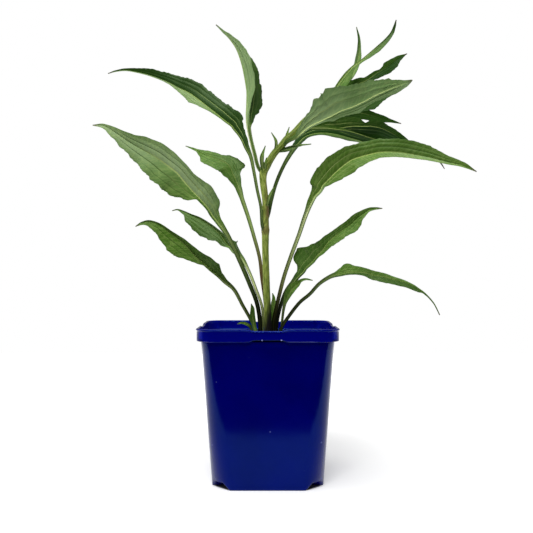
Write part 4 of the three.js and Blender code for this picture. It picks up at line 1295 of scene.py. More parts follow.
BASAL_LEAVES = (
    LeafForm(
        "basal_leaf_left_large",
        midrib=0.9,
        painted_shading=((0.05, 0.1, 0.3, 0.75, 0.8), (0.0, 0.75, 0.95, 0.6, 0.5)),
        petiole=(-1.0, -1.0, -0.8, -0.3),
        face=((0.1, -0.95, 0.3), (0.1, -0.98, 0.14)),
        fold=(14,),
        blade_at=7,
        saw=(1.05, 0.1),
        rows=rooted(
            (-6.5, -3, 112, 1.7), (-6.5, -4, 128, 1.8), (-9, -6, 144, 1.8), (-15, -9, 160, 1.8),
            (-23, -13, 179, 1.8), (-29, -16, 192, 1.8, 1.9), (-34.5, -19, 202, 1.8, 2.4),
            (-40.5, -21, 210, 1.8, 3.8), (-45, -23, 216, 2, 6.6), (-48, -25, 221, 1.9, 11.6),
            (-55, -29, 229, 2.3, 13.4), (-59, -30, 233, 8.5, 12.3), (-66, -33, 241, 16.5, 10),
            (-72, -36, 248, 19, 10.3), (-80, -39, 254, 18, 12), (-87, -42, 259, 16.4, 11.8),
            (-98, -45, 265, 11.7, 10), (-107, -48, 270, 7.9, 6.4), (-116, -51, 276, 5.2, 3.8),
            (-125, -53, 281, 2.4, 1.6), (-133, -55, 281, 0.4),
        ),
    ),
    LeafForm(
        "basal_leaf_left_low",
        in_shade=True,
        painted_shading=((0.0, 0.15, 0.0, 0.3), (-0.35, -0.5, -0.3, 0.0)),
        petiole=(-0.4, -0.3, 0.1),
        face=((-0.1, -0.95, 0.1), (-0.19, -0.95, -0.25)),
        fold=(36,),
        blade_at=6,
        saw=(0.7, 0.15),
        rows=rooted(
            (-9.5, -7, 112, 1.6), (-11, -8.5, 124, 1.6), (-14.5, -10, 131.5, 1.6),
            (-20.5, -14, 142.5, 1.6, 1.7), (-27.5, -18, 155.5, 1.6, 2),
            (-34.5, -21, 161.5, 1.6, 3.4), (-39.5, -24, 166.5, 1.6, 5.2),
            (-46, -27, 172, 1.6, 11.7), (-50, -29, 176, 1.8, 10.6), (-55, -31, 180, 4.3, 9),
            (-59, -32, 184, 7.2, 7.7), (-66, -35, 192, 13, 4.8), (-72, -37, 197, 12.6, 3.5),
            (-76, -38, 200, 11, 2.8), (-84, -40, 206, 7.6, 2.2), (-92, -41, 209, 5, 1.6),
            (-98, -42, 208, 2.2, 1), (-103, -42, 205, 0.4),
        ),
    ),
    LeafForm(
        "basal_leaf_left_small",
        painted_shading=((-0.65, -0.6, -0.4), (-0.6, -0.6, -0.2)),
        petiole=(-0.3, 0.3, 1.0, 0.6),
        flush=0.2,
        face=((0, -0.95, 0.1), (-0.19, -0.93, -0.3)),
        fold=(38,),
        blade_at=6,
        saw=(0.6, 0.15),
        rows=rooted(
            (-5.5, 3.5, 112, 1.4), (-4, 5, 129, 1.5), (-5, 8, 141, 1.5), (-10, 13, 155, 1.5, 1.6),
            (-17, 20, 172, 1.6, 1.8), (-24, 26, 184, 1.7, 3), (-30, 29, 188, 1.7, 14),
            (-33, 31, 192, 2, 9), (-38, 34, 197, 5.5, 5), (-41, 36, 202, 8.8, 4.1),
            (-46, 38, 207, 12, 3.4), (-52, 40, 212, 14, 2.8), (-61, 43, 218, 13.4, 2.3),
            (-70, 45, 222, 8.5, 1.7), (-75, 46, 224.5, 3, 1.3), (-82, 48, 227, 0.8, 0.9),
            (-87, 48, 226, 0.5),
        ),
    ),
    LeafForm(
        "basal_leaf_left_inner",
        painted_shading=((-0.5, -0.35, 0.1), (-0.6, -0.4, 0.1)),
        petiole=(-1.0, -1.0, -0.9, -0.5, 0.0, -0.2),
        flush=0.8,
        face=((0.3, -0.9, 0.2), (0.1, -0.9, 0.4)),
        fold=(14,),
        blade_at=8,
        saw=(0.35, 0.8),
        rows=rooted(
            (-1.5, 8, 112, 1.4), (-2, 8, 142, 1.5, 1.4), (-5, 10, 165, 1.5, 1.4),
            (-7, 12, 182, 1.5, 1.4), (-12, 15, 201, 1.6, 1.5), (-17, 18, 218, 1.8, 1.6),
            (-22, 20, 233, 2.1, 1.7), (-25.5, 21.5, 244, 3.4, 2.8), (-29, 23, 253, 6.7, 5.3),
            (-31, 24, 257, 9.7, 8.9), (-32, 24.5, 260, 11.5, 12.5), (-34, 25, 263.5, 13, 9.8),
            (-37, 26, 266, 12.9, 7.7), (-43, 27, 269, 11.8, 5.1), (-51, 29, 272, 10, 4.9),
            (-55, 30, 273.5, 9, 4.6), (-58, 30.5, 275, 4.3, 3.3), (-63, 31, 278, 1.6, 1.2),
            (-73, 33, 282, 0.4),
        ),
    ),
    LeafForm(
        "basal_leaf_right_large",
        midrib=0.9,
        painted_shading=((-0.3, -0.35, -0.5, -0.2), (-0.4, -0.3, -0.2, 0.35, 0.5, 0.1)),
        petiole=(-1.0, -0.95, -0.6, 0.2, 0.5, 0.8),
        flush=0.45,
        face=((-0.2, -0.95, 0.2), (0, -0.95, 0.28)),
        fold=(24,),
        blade_at=7,
        saw=(0.6, 0.4),
        warmth=0.3,
        rows=rooted(
            (5, 3.5, 112, 1.6), (5, 3, 128, 1.7), (7.5, 1, 141, 1.7), (13, -4, 164, 1.7),
            (18.5, -9, 181, 1.7), (25.5, -14, 200, 1.8, 1.7), (31.5, -19, 217, 2.4, 1.6),
            (37.5, -23, 230, 4.3, 1.8), (42, -25, 235, 8.5, 2), (44, -26, 239, 11.5, 2.6),
            (48, -28, 243, 13, 5.4), (54, -30, 249, 12.9, 9), (60, -32, 254, 12.4, 10.8),
            (66, -34, 258, 11.3, 12), (72, -36, 260, 10.8, 9.9), (81, -39, 262, 11, 7.6),
            (89, -42, 263, 10.4, 6.4), (102, -46, 262, 10, 5.4), (111, -49, 260, 9.8, 4.4),
            (123, -53, 257, 7.9, 3.6), (136, -56, 253, 4.8, 2.8), (147, -58, 250, 2.8, 2),
            (157, -60, 245, 0.4),
        ),
    ),
    LeafForm(
        "basal_leaf_right_mid",
        midrib=0.45,
        painted_shading=((-0.6, -0.5, -0.4), (-0.4, -0.3, -0.3)),
        petiole=(-1.0, -1.0, -0.7),
        face=((-0.35, -0.75, 0.5), (-0.45, -0.62, 0.64), (-0.1, -0.95, 0.15)),
        fold=(26,),
        blade_at=5,
        saw=(0.4, 0.9),
        rows=rooted(
            (6.5, -3, 112, 1.6), (8, -5, 130, 1.6), (11, -8, 143, 1.6, 1.7),
            (15, -11, 154, 1.7, 1.8), (20, -13, 160, 2.6, 2.2), (26, -16, 167, 4.5, 2.8),
            (29, -17, 170, 9.6, 3.2), (31, -18, 173, 18, 3.6), (33, -19, 175, 21, 4),
            (37, -21, 179, 17, 4.2), (40, -23, 183, 12, 4.4), (44, -25, 187, 9.1, 5),
            (48, -27, 193, 6.2, 7), (52, -29, 197, 4.8, 8.6), (58, -32, 202, 4.4, 8.6),
            (65, -35, 207, 4.6, 9), (70, -37, 212, 4.2, 8.6), (74, -39, 215, 3.1, 4.2),
            (79, -41, 218, 2, 1.8), (84, -42, 219, 1.2), (89, -43, 219, 0.4),
        ),
    ),
    LeafForm(
        "basal_leaf_right_low",
        midrib=0.35,
        painted_shading=((0.0, -0.3), (-0.6, -0.6)),
        petiole=(-0.7, -0.6, -0.6),
        face=((-0.3, -0.8, 0.5), (0, -0.85, 0.5), (0.1, -0.9, 0.4)),
        fold=(28,),
        blade_at=7,
        saw=(0.4, 0.8),
        rows=rooted(
            (10, -7.5, 112, 1.5), (11, -9, 123, 1.5), (17, -13, 133, 1.5), (26, -18, 145, 1.5),
            (34, -22, 152, 1.5), (41, -26, 160, 1.5, 1.6), (48, -30, 165, 1.8, 2),
            (53, -33, 167, 2.5, 2.1), (58, -35, 168, 5.5, 2.3), (62, -37, 169, 7.7, 2.6),
            (69, -40, 169.5, 4.9, 3), (75, -43, 169, 3.8), (82, -45, 167, 3.6, 5.4),
            (89, -48, 166, 3, 7), (96, -50, 164, 2.4, 6.4), (103, -52, 162, 2, 6.1),
            (110, -54, 159, 1.5, 4.9), (115, -55, 156, 1, 3.6), (118, -56, 154, 0.7, 1.3),
            (122, -57, 150, 0.6, 0.7), (126, -57, 145, 0.5, 0.6), (130, -57, 137, 0.4),
        ),
    ),
    LeafForm(
        "crown_leaf_lance",
        painted_shading=((-0.5,), (-0.5,)),
        face=((0.1, -0.98, 0.1),),
        fold=(20,),
        blade_at=2,
        narrow=True,
        rows=rooted(
            (-7, -12.5, 112, 1), (-9, -13.5, 119, 1.3), (-11, -14.5, 125, 1.9, 1.8),
            (-12, -15.5, 130, 2.4, 2.3), (-12.5, -16, 135, 2.3, 2.2),
            (-12.5, -16.5, 140, 1.8, 1.7), (-13.5, -17, 144, 0.4),
        ),
    ),
    LeafForm(
        "crown_leaf_right_small",
        face=((-0.2, -0.9, 0.2),),
        fold=(20,),
        blade_at=2,
        narrow=True,
        rows=rooted(
            (3, 9, 112, 1), (3.5, 8.5, 122, 1.2), (4.5, 8.5, 130, 2), (5, 8.5, 136, 2.5),
            (5, 8.5, 143, 2.4, 2.5), (5, 8.5, 148, 1.4, 1.5), (4, 9, 152, 0.4),
        ),
    ),
    LeafForm(
        "crown_leaf_curled",
        painted_shading=((-0.25,), (-0.25,)),
        face=((-0.5, -0.8, 0.3), (-0.5, -0.7, 0.5), (-0.2, -0.9, 0.3)),
        fold=(22,),
        blade_at=3,
        narrow=True,
        rows=rooted(
            (11, -2, 112, 1), (12, -7, 130, 1.1, 1.2), (14, -13, 143, 1.8, 1.6),
            (17, -17, 151, 3.7, 3.4), (20, -19, 156, 4), (24, -21, 160, 2.9, 3),
            (27, -23, 163, 1.3, 1.6), (31, -24, 164, 0.9, 1), (36, -25, 163, 0.4),
        ),
    ),
    LeafForm(
        "crown_leaf_thin_low",
        face=((0, -0.9, 0.4), (0, -0.9, 0.5)),
        fold=(12,),
        blade_at=2,
        narrow=True,
        rows=rooted(
            (-13, -3, 112, 0.9), (-13.5, -4, 121, 1), (-15, -6, 125, 1.5, 1.3),
            (-18, -8, 127, 1.6, 1.3), (-22, -10, 128, 1.1, 0.9), (-25, -12, 127, 0.4),
        ),
    ),
)

STEM_LEAVES = (
    LeafForm(
        "stem_leaf_left_long",
        midrib=0.7,
        painted_shading=((-0.3, 0.6, 0.7, -0.3), (-0.85, -0.9, -0.95, -0.6)),
        petiole=(-0.6, -0.3),
        face=((0.5, -0.8, 0.2), (0.27, -0.87, 0.4), (0.27, -0.87, 0.4)),
        fold=(40, 45, 50, 29, 48, 48),
        blade_at=6,
        saw=(0.8, 0.9),
        warmth=0.15,
        rows=(
            (-3, 0, 203, 1.4), (-5, -4, 209, 1.5), (-6, -5, 224, 1.6, 1.5),
            (-9, -4, 238, 1.7, 1.6), (-12, -2, 254, 1.7, 1.8), (-15, 1, 267, 1.7, 2.5),
            (-19, 3, 275, 1.8, 4.1), (-22, 5, 282, 2, 5.3), (-25, 7, 287, 2.2, 7),
            (-29, 9, 292, 2.6, 10.7), (-31, 10, 295, 3, 13.4), (-36, 12, 299, 4, 13.2),
            (-45, 16, 307, 6.5, 13), (-53, 20, 314, 10.6, 12.6), (-61, 24, 321, 13, 12.1),
            (-70, 28, 328, 11.4, 11.9), (-79, 31, 333, 8, 10.9), (-87, 34, 338, 6.6, 9.2),
            (-97, 37, 343, 5.4, 7.2), (-107, 39, 347, 4.4, 5.6), (-117, 41, 350, 3.4),
            (-128, 42, 352, 2.2, 1.8), (-137, 42, 351, 1.4, 1.1), (-144, 42, 349, 0.4),
        ),
    ),
    LeafForm(
        "stem_leaf_upright",
        midrib=0.4,
        painted_shading=((0.35, 0.5, 0.5), (-0.75, -0.7, 0.0)),
        petiole=(0.3, 1.0, 1.0),
        face=((0.8, -0.3, 0.2), (0.95, -0.18, 0.25), (0.9, -0.15, 0.4)),
        fold=(47,),
        blade_at=4,
        saw=(0.3, 1.0),
        rows=(
            (-4, 0, 252, 1.5), (-8, -1, 258, 1.6), (-11, -1, 269, 1.6, 1.7), (-14, 0, 281, 1.7),
            (-16, 0, 291, 1.9, 2.2), (-16.8, 1, 302, 2.6, 7.6), (-16.6, 1.6, 308, 4.2, 12.6),
            (-16.5, 2.3, 314, 6.4, 17), (-16.5, 3, 322, 13.2, 16.8), (-18, 4, 332, 16.5, 15.2),
            (-20, 5, 342, 16.3, 14.2), (-22.5, 6, 351, 12.8, 11.6), (-26, 7, 360, 7.4, 7.6),
            (-32, 8, 369, 3.8, 4.2), (-38, 8.5, 375, 1.6, 2), (-44, 9, 381, 0.4),
        ),
    ),
    LeafForm(
        "stem_leaf_right_back",
        in_shade=True,
        midrib=0.5,
        painted_shading=((-1.0, -1.0, -0.9, -0.5, -1.0), (-1.0, -0.4, 0.45, -0.3, -0.6, -1.0)),
        petiole=(-1.0, -0.8),
        face=((-0.2, -0.6, 0.75), (0.05, -0.6, 0.75), (0.2, -0.6, 0.7)),
        fold=(16,),
        blade_at=6,
        rows=(
            (-1, 0, 213, 1.3), (1, 4, 221, 1.5), (3, 8, 231, 1.5), (7, 14, 246, 1.5),
            (13, 21, 261, 1.6), (20, 28, 274, 2), (27, 32, 284, 4.4, 3), (34, 36, 291, 8, 5),
            (45, 41, 295, 11.5, 8), (60, 47, 295.5, 12.6, 11), (77, 53, 292.5, 12.6, 12),
            (94, 59, 289, 10.4, 10.6), (110, 64, 285, 6.6, 6.8), (122, 67, 281.5, 2.6),
            (131, 69, 281, 1.5), (145, 72, 281, 1.2), (155, 74, 280, 1.2), (161, 75, 277, 1.2),
            (165, 76, 273, 1), (168, 76, 268.5, 0.4),
        ),
    ),
    LeafForm(
        "shoot_leaf_front",
        midrib=1.0,
        painted_shading=((-0.2, -0.1, 0.0), (0.6, 0.5, 0.0, 0.0)),
        face=((-0.35, 0.75, 0.55), (-0.3, 0.7, 0.6)),
        fold=(18,),
        blade_at=2,
        saw=(0.5, 1.2),
        rows=(
            (14, -4, 277, 1.5), (18, -8, 279, 1.7), (23, -10, 281, 1.8, 2.1),
            (28, -12, 285, 2, 4.4), (35, -14, 290, 2.2, 7.8), (42, -16, 293, 2.6, 13.4),
            (46, -17.6, 294.6, 3.4, 17.6), (47.5, -18, 295.2, 4.2, 16.5), (52, -19, 297, 7.4, 20),
            (53.5, -19.5, 297.8, 7.5, 18.8), (58, -21, 300, 8, 20.9),
            (59.5, -21.4, 300.5, 8.2, 19.8), (65, -23, 302, 9.2, 19.6), (71, -25, 304, 11.2, 17.6),
            (74.5, -26, 305.5, 9.2, 16.4), (78, -27, 307, 7.2, 15.3), (84, -28.5, 310, 6.4, 12.7),
            (90, -30, 312.5, 7, 10.2), (97, -32, 315, 7.4, 7.3), (103, -33, 317, 7, 4.8),
            (109, -34, 319, 4.8, 2.4), (112.5, -34.7, 320.4, 2.4, 1.2), (114, -35, 321, 0.4),
        ),
    ),
    LeafForm(
        "shoot_leaf_tip",
        midrib=0.7,
        painted_shading=((0.2, -0.2, -0.45, -0.7), (0.1, -0.35, -0.45, -0.9)),
        face=((0.2, -0.9, 0.3), (0.3, -0.8, 0.4)),
        fold=(15,),
        blade_at=1,
        teeth=0.6,
        pitch=13,
        rows=(
            (45, -4, 307, 1.3), (52, -6, 315, 1.4, 1.6), (59, -6.5, 326, 1.7, 6.6),
            (65, -7, 334, 1.6, 6), (71, -8, 340, 1.2, 2.4), (77.4, -9, 344.6, 0.9, 1.9),
            (83.4, -10, 349.6, 0.7, 3.4), (89.4, -11, 354.6, 0.7, 4.4),
            (96.4, -12, 360.6, 0.8, 3.4), (101.2, -13, 366, 0.8, 2.3), (103.5, -14, 371, 0.8, 1.4),
            (105, -15, 376, 0.4),
        ),
    ),
    LeafForm(
        "shoot_leaf_thin",
        painted_shading=((-0.6, -0.8), (-0.3, -0.6)),
        face=((-0.2, -0.97, 0),),
        fold=(12,),
        blade_at=2,
        narrow=True,
        rows=(
            (56, -3, 317, 1), (63, -1, 326, 1.1), (70, 2, 334, 1.7, 1.8), (74, 5, 342, 2.2, 2.4),
            (77, 8, 352, 2.6, 2.7), (78, 10, 361, 1.7), (78, 11, 370, 1.1), (76, 12, 380, 0.4),
        ),
    ),
    LeafForm(
        "shoot_leaf_back",
        in_shade=True,
        saw=(0.9, 1.0),
        painted_shading=((-0.7,), (-0.9,)),
        face=((0.1, -0.9, 0.4), (0.1, -0.8, 0.5)),
        fold=(20,),
        blade_at=1,
        teeth=0.7,
        rows=(
            (49, -3.5, 311, 1.1), (58, 4, 318, 1.3, 1.5), (67, 9, 325, 3, 1.8),
            (75, 12, 330, 5.6, 2.1), (80, 13.5, 332.5, 5.2, 2.6), (85, 15, 335, 3.2),
            (94, 19, 342, 2.8, 6.4), (98, 20.5, 345, 1.6, 7.2), (101, 22, 347, 2.4, 7.8),
            (104.5, 23.5, 349.5, 4.6, 7.2), (108, 25, 352, 4.4, 6.4), (115, 28, 358, 3, 3.4),
            (123, 30, 363, 0.4),
        ),
    ),
    LeafForm(
        "shoot_leaf_right",
        in_shade=True,
        saw=(1.2, 0.8),
        painted_shading=((-0.8,), (-0.8,)),
        face=((0.1, -0.95, 0.3), (0.2, -0.9, 0.4)),
        fold=(14,),
        blade_at=1,
        rows=(
            (40, -2, 304, 1.2), (46, 6, 307, 1.4, 1.6), (53.5, 14, 309, 2.5, 5),
            (63, 24, 311.2, 4, 9), (72.5, 29, 311.7, 5, 9), (82.5, 31, 310.8, 5.4, 7.4),
            (88.5, 32, 309.9, 4.2, 6.6), (92.5, 33, 309.1, 3.4, 7.2), (102, 34, 306.8, 3, 5),
            (111, 35, 304.3, 1.8), (119, 36, 302.6, 0.4),
        ),
    ),
    LeafForm(
        "shoot_leaf_long",
        in_shade=True,
        saw=(0.8, 1.0),
        midrib=1.0,
        painted_shading=((-0.5, -0.7, -0.9), (-1.0, -1.0, -1.0)),
        face=((0.1, -0.75, 0.6), (0.2, -0.85, 0.5)),
        fold=(12,),
        blade_at=2,
        rows=(
            (27, -3, 292, 1.3), (33, 2, 292, 1.6), (44, 6, 292.2, 7.4, 2.6),
            (53, 9, 292.8, 11.6, 4), (62.5, 12, 293.4, 12, 6), (70, 14, 295, 10.4, 10),
            (75.5, 16, 295.8, 9.2, 12), (80.5, 17, 296, 7.8, 12.6), (85, 18, 296.2, 3.4, 12.6),
            (90.5, 19.5, 296.4, 5.8, 12.6), (98, 21, 295.3, 7.6, 12.6), (105, 23, 293, 6.2, 12),
            (112.5, 25, 289.6, 5.4, 10), (120, 27, 285.2, 4.2, 7), (127, 29, 281, 2.4, 3.4),
            (133, 30, 276.5, 0.4),
        ),
    ),
    LeafForm(
        "shoot_leaf_low",
        in_shade=True,
        midrib=1.0,
        painted_shading=((-1.0, -0.8), (-1.0, -1.0, -0.9, -0.3, -0.3)),
        face=((0.1, -0.75, 0.65), (0.25, -0.75, 0.6)),
        fold=(20,),
        blade_at=2,
        rows=(
            (24, -5, 288, 1.3), (30, -8, 288.6, 1.6), (41.5, -6, 289.2, 2.2, 2),
            (49, -4.5, 289.6, 2.2, 2.6), (58.5, -2, 289, 2, 4.4), (66.5, 0, 288.3, 2, 6.4),
            (74.5, 3, 287, 2.2, 7.4), (84.5, 6, 284.4, 3.6, 7.6), (94, 9, 282.3, 5.6, 6.6),
            (105, 12, 278.6, 5.2, 4.6), (115, 15, 274.6, 3, 2.2), (123, 17, 271, 0.4),
        ),
    ),
    LeafForm(
        "shoot_leaf_behind",
        in_shade=True,
        saw=(1.2, 1.4),
        painted_shading=((-0.8,), (-0.8,)),
        face=((-0.2, -0.85, 0.45), (-0.2, -0.9, 0.35)),
        fold=(16,),
        blade_at=1,
        rows=(
            (46, -3, 308, 1.2), (57, -5, 308, 2, 2.4), (67, -4, 308.6, 3.4, 6.4),
            (77, -3, 310.5, 4, 11.4), (86, -2, 313, 4, 10.6), (94, -1, 316.5, 3.6, 5.6),
            (103, 0, 320.5, 2.6, 3.4), (111, 1, 323, 0.4),
        ),
    ),
)


# ---------------------------------------- the flower stem


@dataclass
class FlowerStem:
    """The ribbed stem, which leans away to the right above its fork, with its tiny young leaves.

    A row is a place and a radius. A young leaf is the direction of its upper face, and its rows.
    """

    rows: tuple[Row, ...] = (
        (0, 0, 98, 3.1), (0, 0, 112, 3.1), (0, 0, 130, 3), (-1, 0, 155, 2.8), (-2, 0, 188, 2.7),
        (-2, 0, 201, 2.9), (-2, 0, 205, 3.4), (-2, 0, 209, 2.9), (-2, 0, 218, 2.7),
        (-2, 0, 230, 2.6), (-4, 0, 247, 2.8), (-3.5, 0, 254, 3.3), (-1, 0, 259, 3.3),
        (2, -1, 264, 2.9), (6, -1, 270, 2.8), (11, -2, 275, 2.8), (16, -3, 281, 2.9),
        (22, -4, 286, 2.7), (30, -4, 295, 2.5), (39, -4, 303, 2.2), (52, -4, 313, 1.8),
        (59, -3, 320, 1.3),
    )
    around: int = 32
    step: float = 1.6
    ribs: int = 8
    rib_depth: float = 0.04
    streak_stretch: float = 6.0
    hairless_foot: float = 14.0
    hairless_tip: float = 8.0
    route: Route = field(init=False)

    YOUNG_LEAVES = (
        ((0.3, -0.9, 0.1), ((-4, -2, 253, 1.2), (-5, -5, 265, 1.8), (-2, -5, 275, 0.4))),
        ((0.1, -0.9, 0.2), ((-2, -2, 254, 1), (-2, -5, 260, 1.2), (-1, -6, 265, 0.4))),
        ((0.3, -0.8, -0.2), ((5, -1, 267, 1), (7, -4, 278, 1.3), (3, -5, 286, 0.4))),
        ((0, -0.9, 0.2), ((13, -2, 277, 0.9), (16, -3, 285, 1), (18, -3, 291, 0.4))),
        ((0, -0.5, 0.9), ((12, -2, 273, 1), (24, -6, 275, 1.4), (36, -8, 276, 0.4))),
        ((0, -0.5, 0.9), ((10, -2, 271, 1), (16, -6, 271, 1.1), (22, -8, 273, 0.4))),
        ((0, -0.9, 0.4), ((-1, -1, 222, 1), (1, -4, 232, 1.3), (5, -3, 241, 0.4))),
    )

    def __post_init__(self) -> None:
        """Measures the stem's middle line."""
        self.route = Route(self.rows)

    def ring(self, s: float) -> list[SkinPoint]:
        """Places the points of the ribbed round section.

        Args:
            s: The distance from the foot.

        Returns:
            The points of the section.
        """
        *place, radius = self.route.at(s)
        along = self.route.direction(s)
        across = Vector((0, 1, 0)).cross(along).normalized()
        up = along.cross(across)
        stretched = s / self.streak_stretch
        points = []
        for step in range(self.around):
            angle = 2 * math.pi * step / self.around
            reach = radius * (1 + self.rib_depth * math.cos(self.ribs * angle))
            offset = across * (reach * math.cos(angle)) + up * (reach * math.sin(angle))
            points.append(SkinPoint(Vector(place) + offset, across=radius * angle, along=stretched))
        return points

    def build(self) -> bpy.types.Object:
        """Makes the stem."""
        count = round(self.route.length / self.step)
        rings = [self.ring(self.route.length * i / count) for i in range(count + 1)]
        mesh = RolledSheet(rings).closed(60)
        return make_piece(mesh, "flower_stem_skin", (STEM_SKIN,), ("flower_stem",))

    def build_young_leaves(self) -> list[bpy.types.Object]:
        """Makes the tiny leaves in the stem's forks.

        Returns:
            The pieces.
        """
        made = []
        for number, (face, rows) in enumerate(self.YOUNG_LEAVES, start=1):
            name = f"young_leaf_{number}"
            form = LeafForm(name, (face,), fold=(20,), blade_at=1, rows=rows, narrow=True, warmth=0.3)
            made.append(Leaf(form, seed=number, rib=0.4).build(Slot.STEM, name, "flower_stem"))
        return made


@dataclass
class PlantHairs:
    """Short stiff hairs that stand off the stem and the petioles."""

    spacing: float = 1.3
    spacing_draw: Span = (0.4, 1.6)
    length: Span = (0.4, 1.1)
    radius: float = 0.032
    tip_radius: float = 0.0048
    lean: float = 0.5
    sunk: float = 0.92
    lowest: float = 140.0
    petiole_end: float = 0.9
    petiole_fit: float = 0.95
    seed: int = 5

    def __post_init__(self) -> None:
        """Starts an empty mesh and a seeded run of draws."""
        self.mesh = bmesh.new()
        self.draws = random.Random(self.seed)

    def add(self, route: Route, s: float, radius: float) -> None:
        """Sets one hair on a stem or petiole.

        Args:
            route: Its middle line.
            s: The hair's distance from its start.
            radius: How far out the skin is.
        """
        along = route.direction(s)
        side = along.orthogonal().normalized()
        side.rotate(Matrix.Rotation(self.draws.uniform(0, 2 * math.pi), 3, along))
        out = (side + along * self.draws.uniform(-self.lean, self.lean)).normalized()
        length = self.draws.uniform(*self.length)
        middle = route.place(s) + side * radius * self.sunk + out * length / 2
        turn = out.to_track_quat("Z", "Y").to_matrix().to_4x4()
        bmesh.ops.create_cone(
            self.mesh,
            cap_ends=True,
            segments=3,
            radius1=self.radius * MM,
            radius2=self.tip_radius * MM,
            depth=length * MM,
            matrix=Matrix.Translation(middle * MM) @ turn,
        )

    def cover(self, route: Route, start: float, end: float, fit: float = 1.0) -> None:
        """Sets hairs round a stretch of a stem or petiole.

        Args:
            route: Its middle line, whose fourth number is its half-width.
            start: Where the stretch starts along it.
            end: Where the stretch ends.
            fit: The share of the half-width that is the radius.
        """
        s = start
        while s < end:
            _, _, z, half_width, *_ = route.at(s)
            if z > self.lowest:
                self.add(route, s, half_width * fit)
            s += self.spacing * self.draws.uniform(*self.spacing_draw)

    def cover_stem(self, stem: FlowerStem) -> None:
        """Sets hairs on the flower stem."""
        self.cover(stem.route, stem.hairless_foot, stem.route.length - stem.hairless_tip)

    def cover_petiole(self, leaf: Leaf) -> None:
        """Sets hairs on a leaf's petiole."""
        self.cover(leaf.route, 0, leaf.blade_start * self.petiole_end, self.petiole_fit)

    def build(self) -> bpy.types.Object:
        """Makes the hairs one piece."""
        return make_piece(self.mesh, "plant_hairs", (HAIR,))


# ---------------------------------------- the pot


@dataclass(frozen=True)
class ProfileRow:
    """One ring of the pot's skin.

    A wall ring is a rounded square of this width at this height. The middles of its sides are
    lifted by dip, and its corners by foot times the rise of the foot's corners. A floor ring is the
    base ring drawn in until no point is further out than reach.
    """

    z: float
    width: float = 0.0
    corner: float = 0.0
    dip: float = 0.0
    foot: float = 0.0
    reach: float | None = None


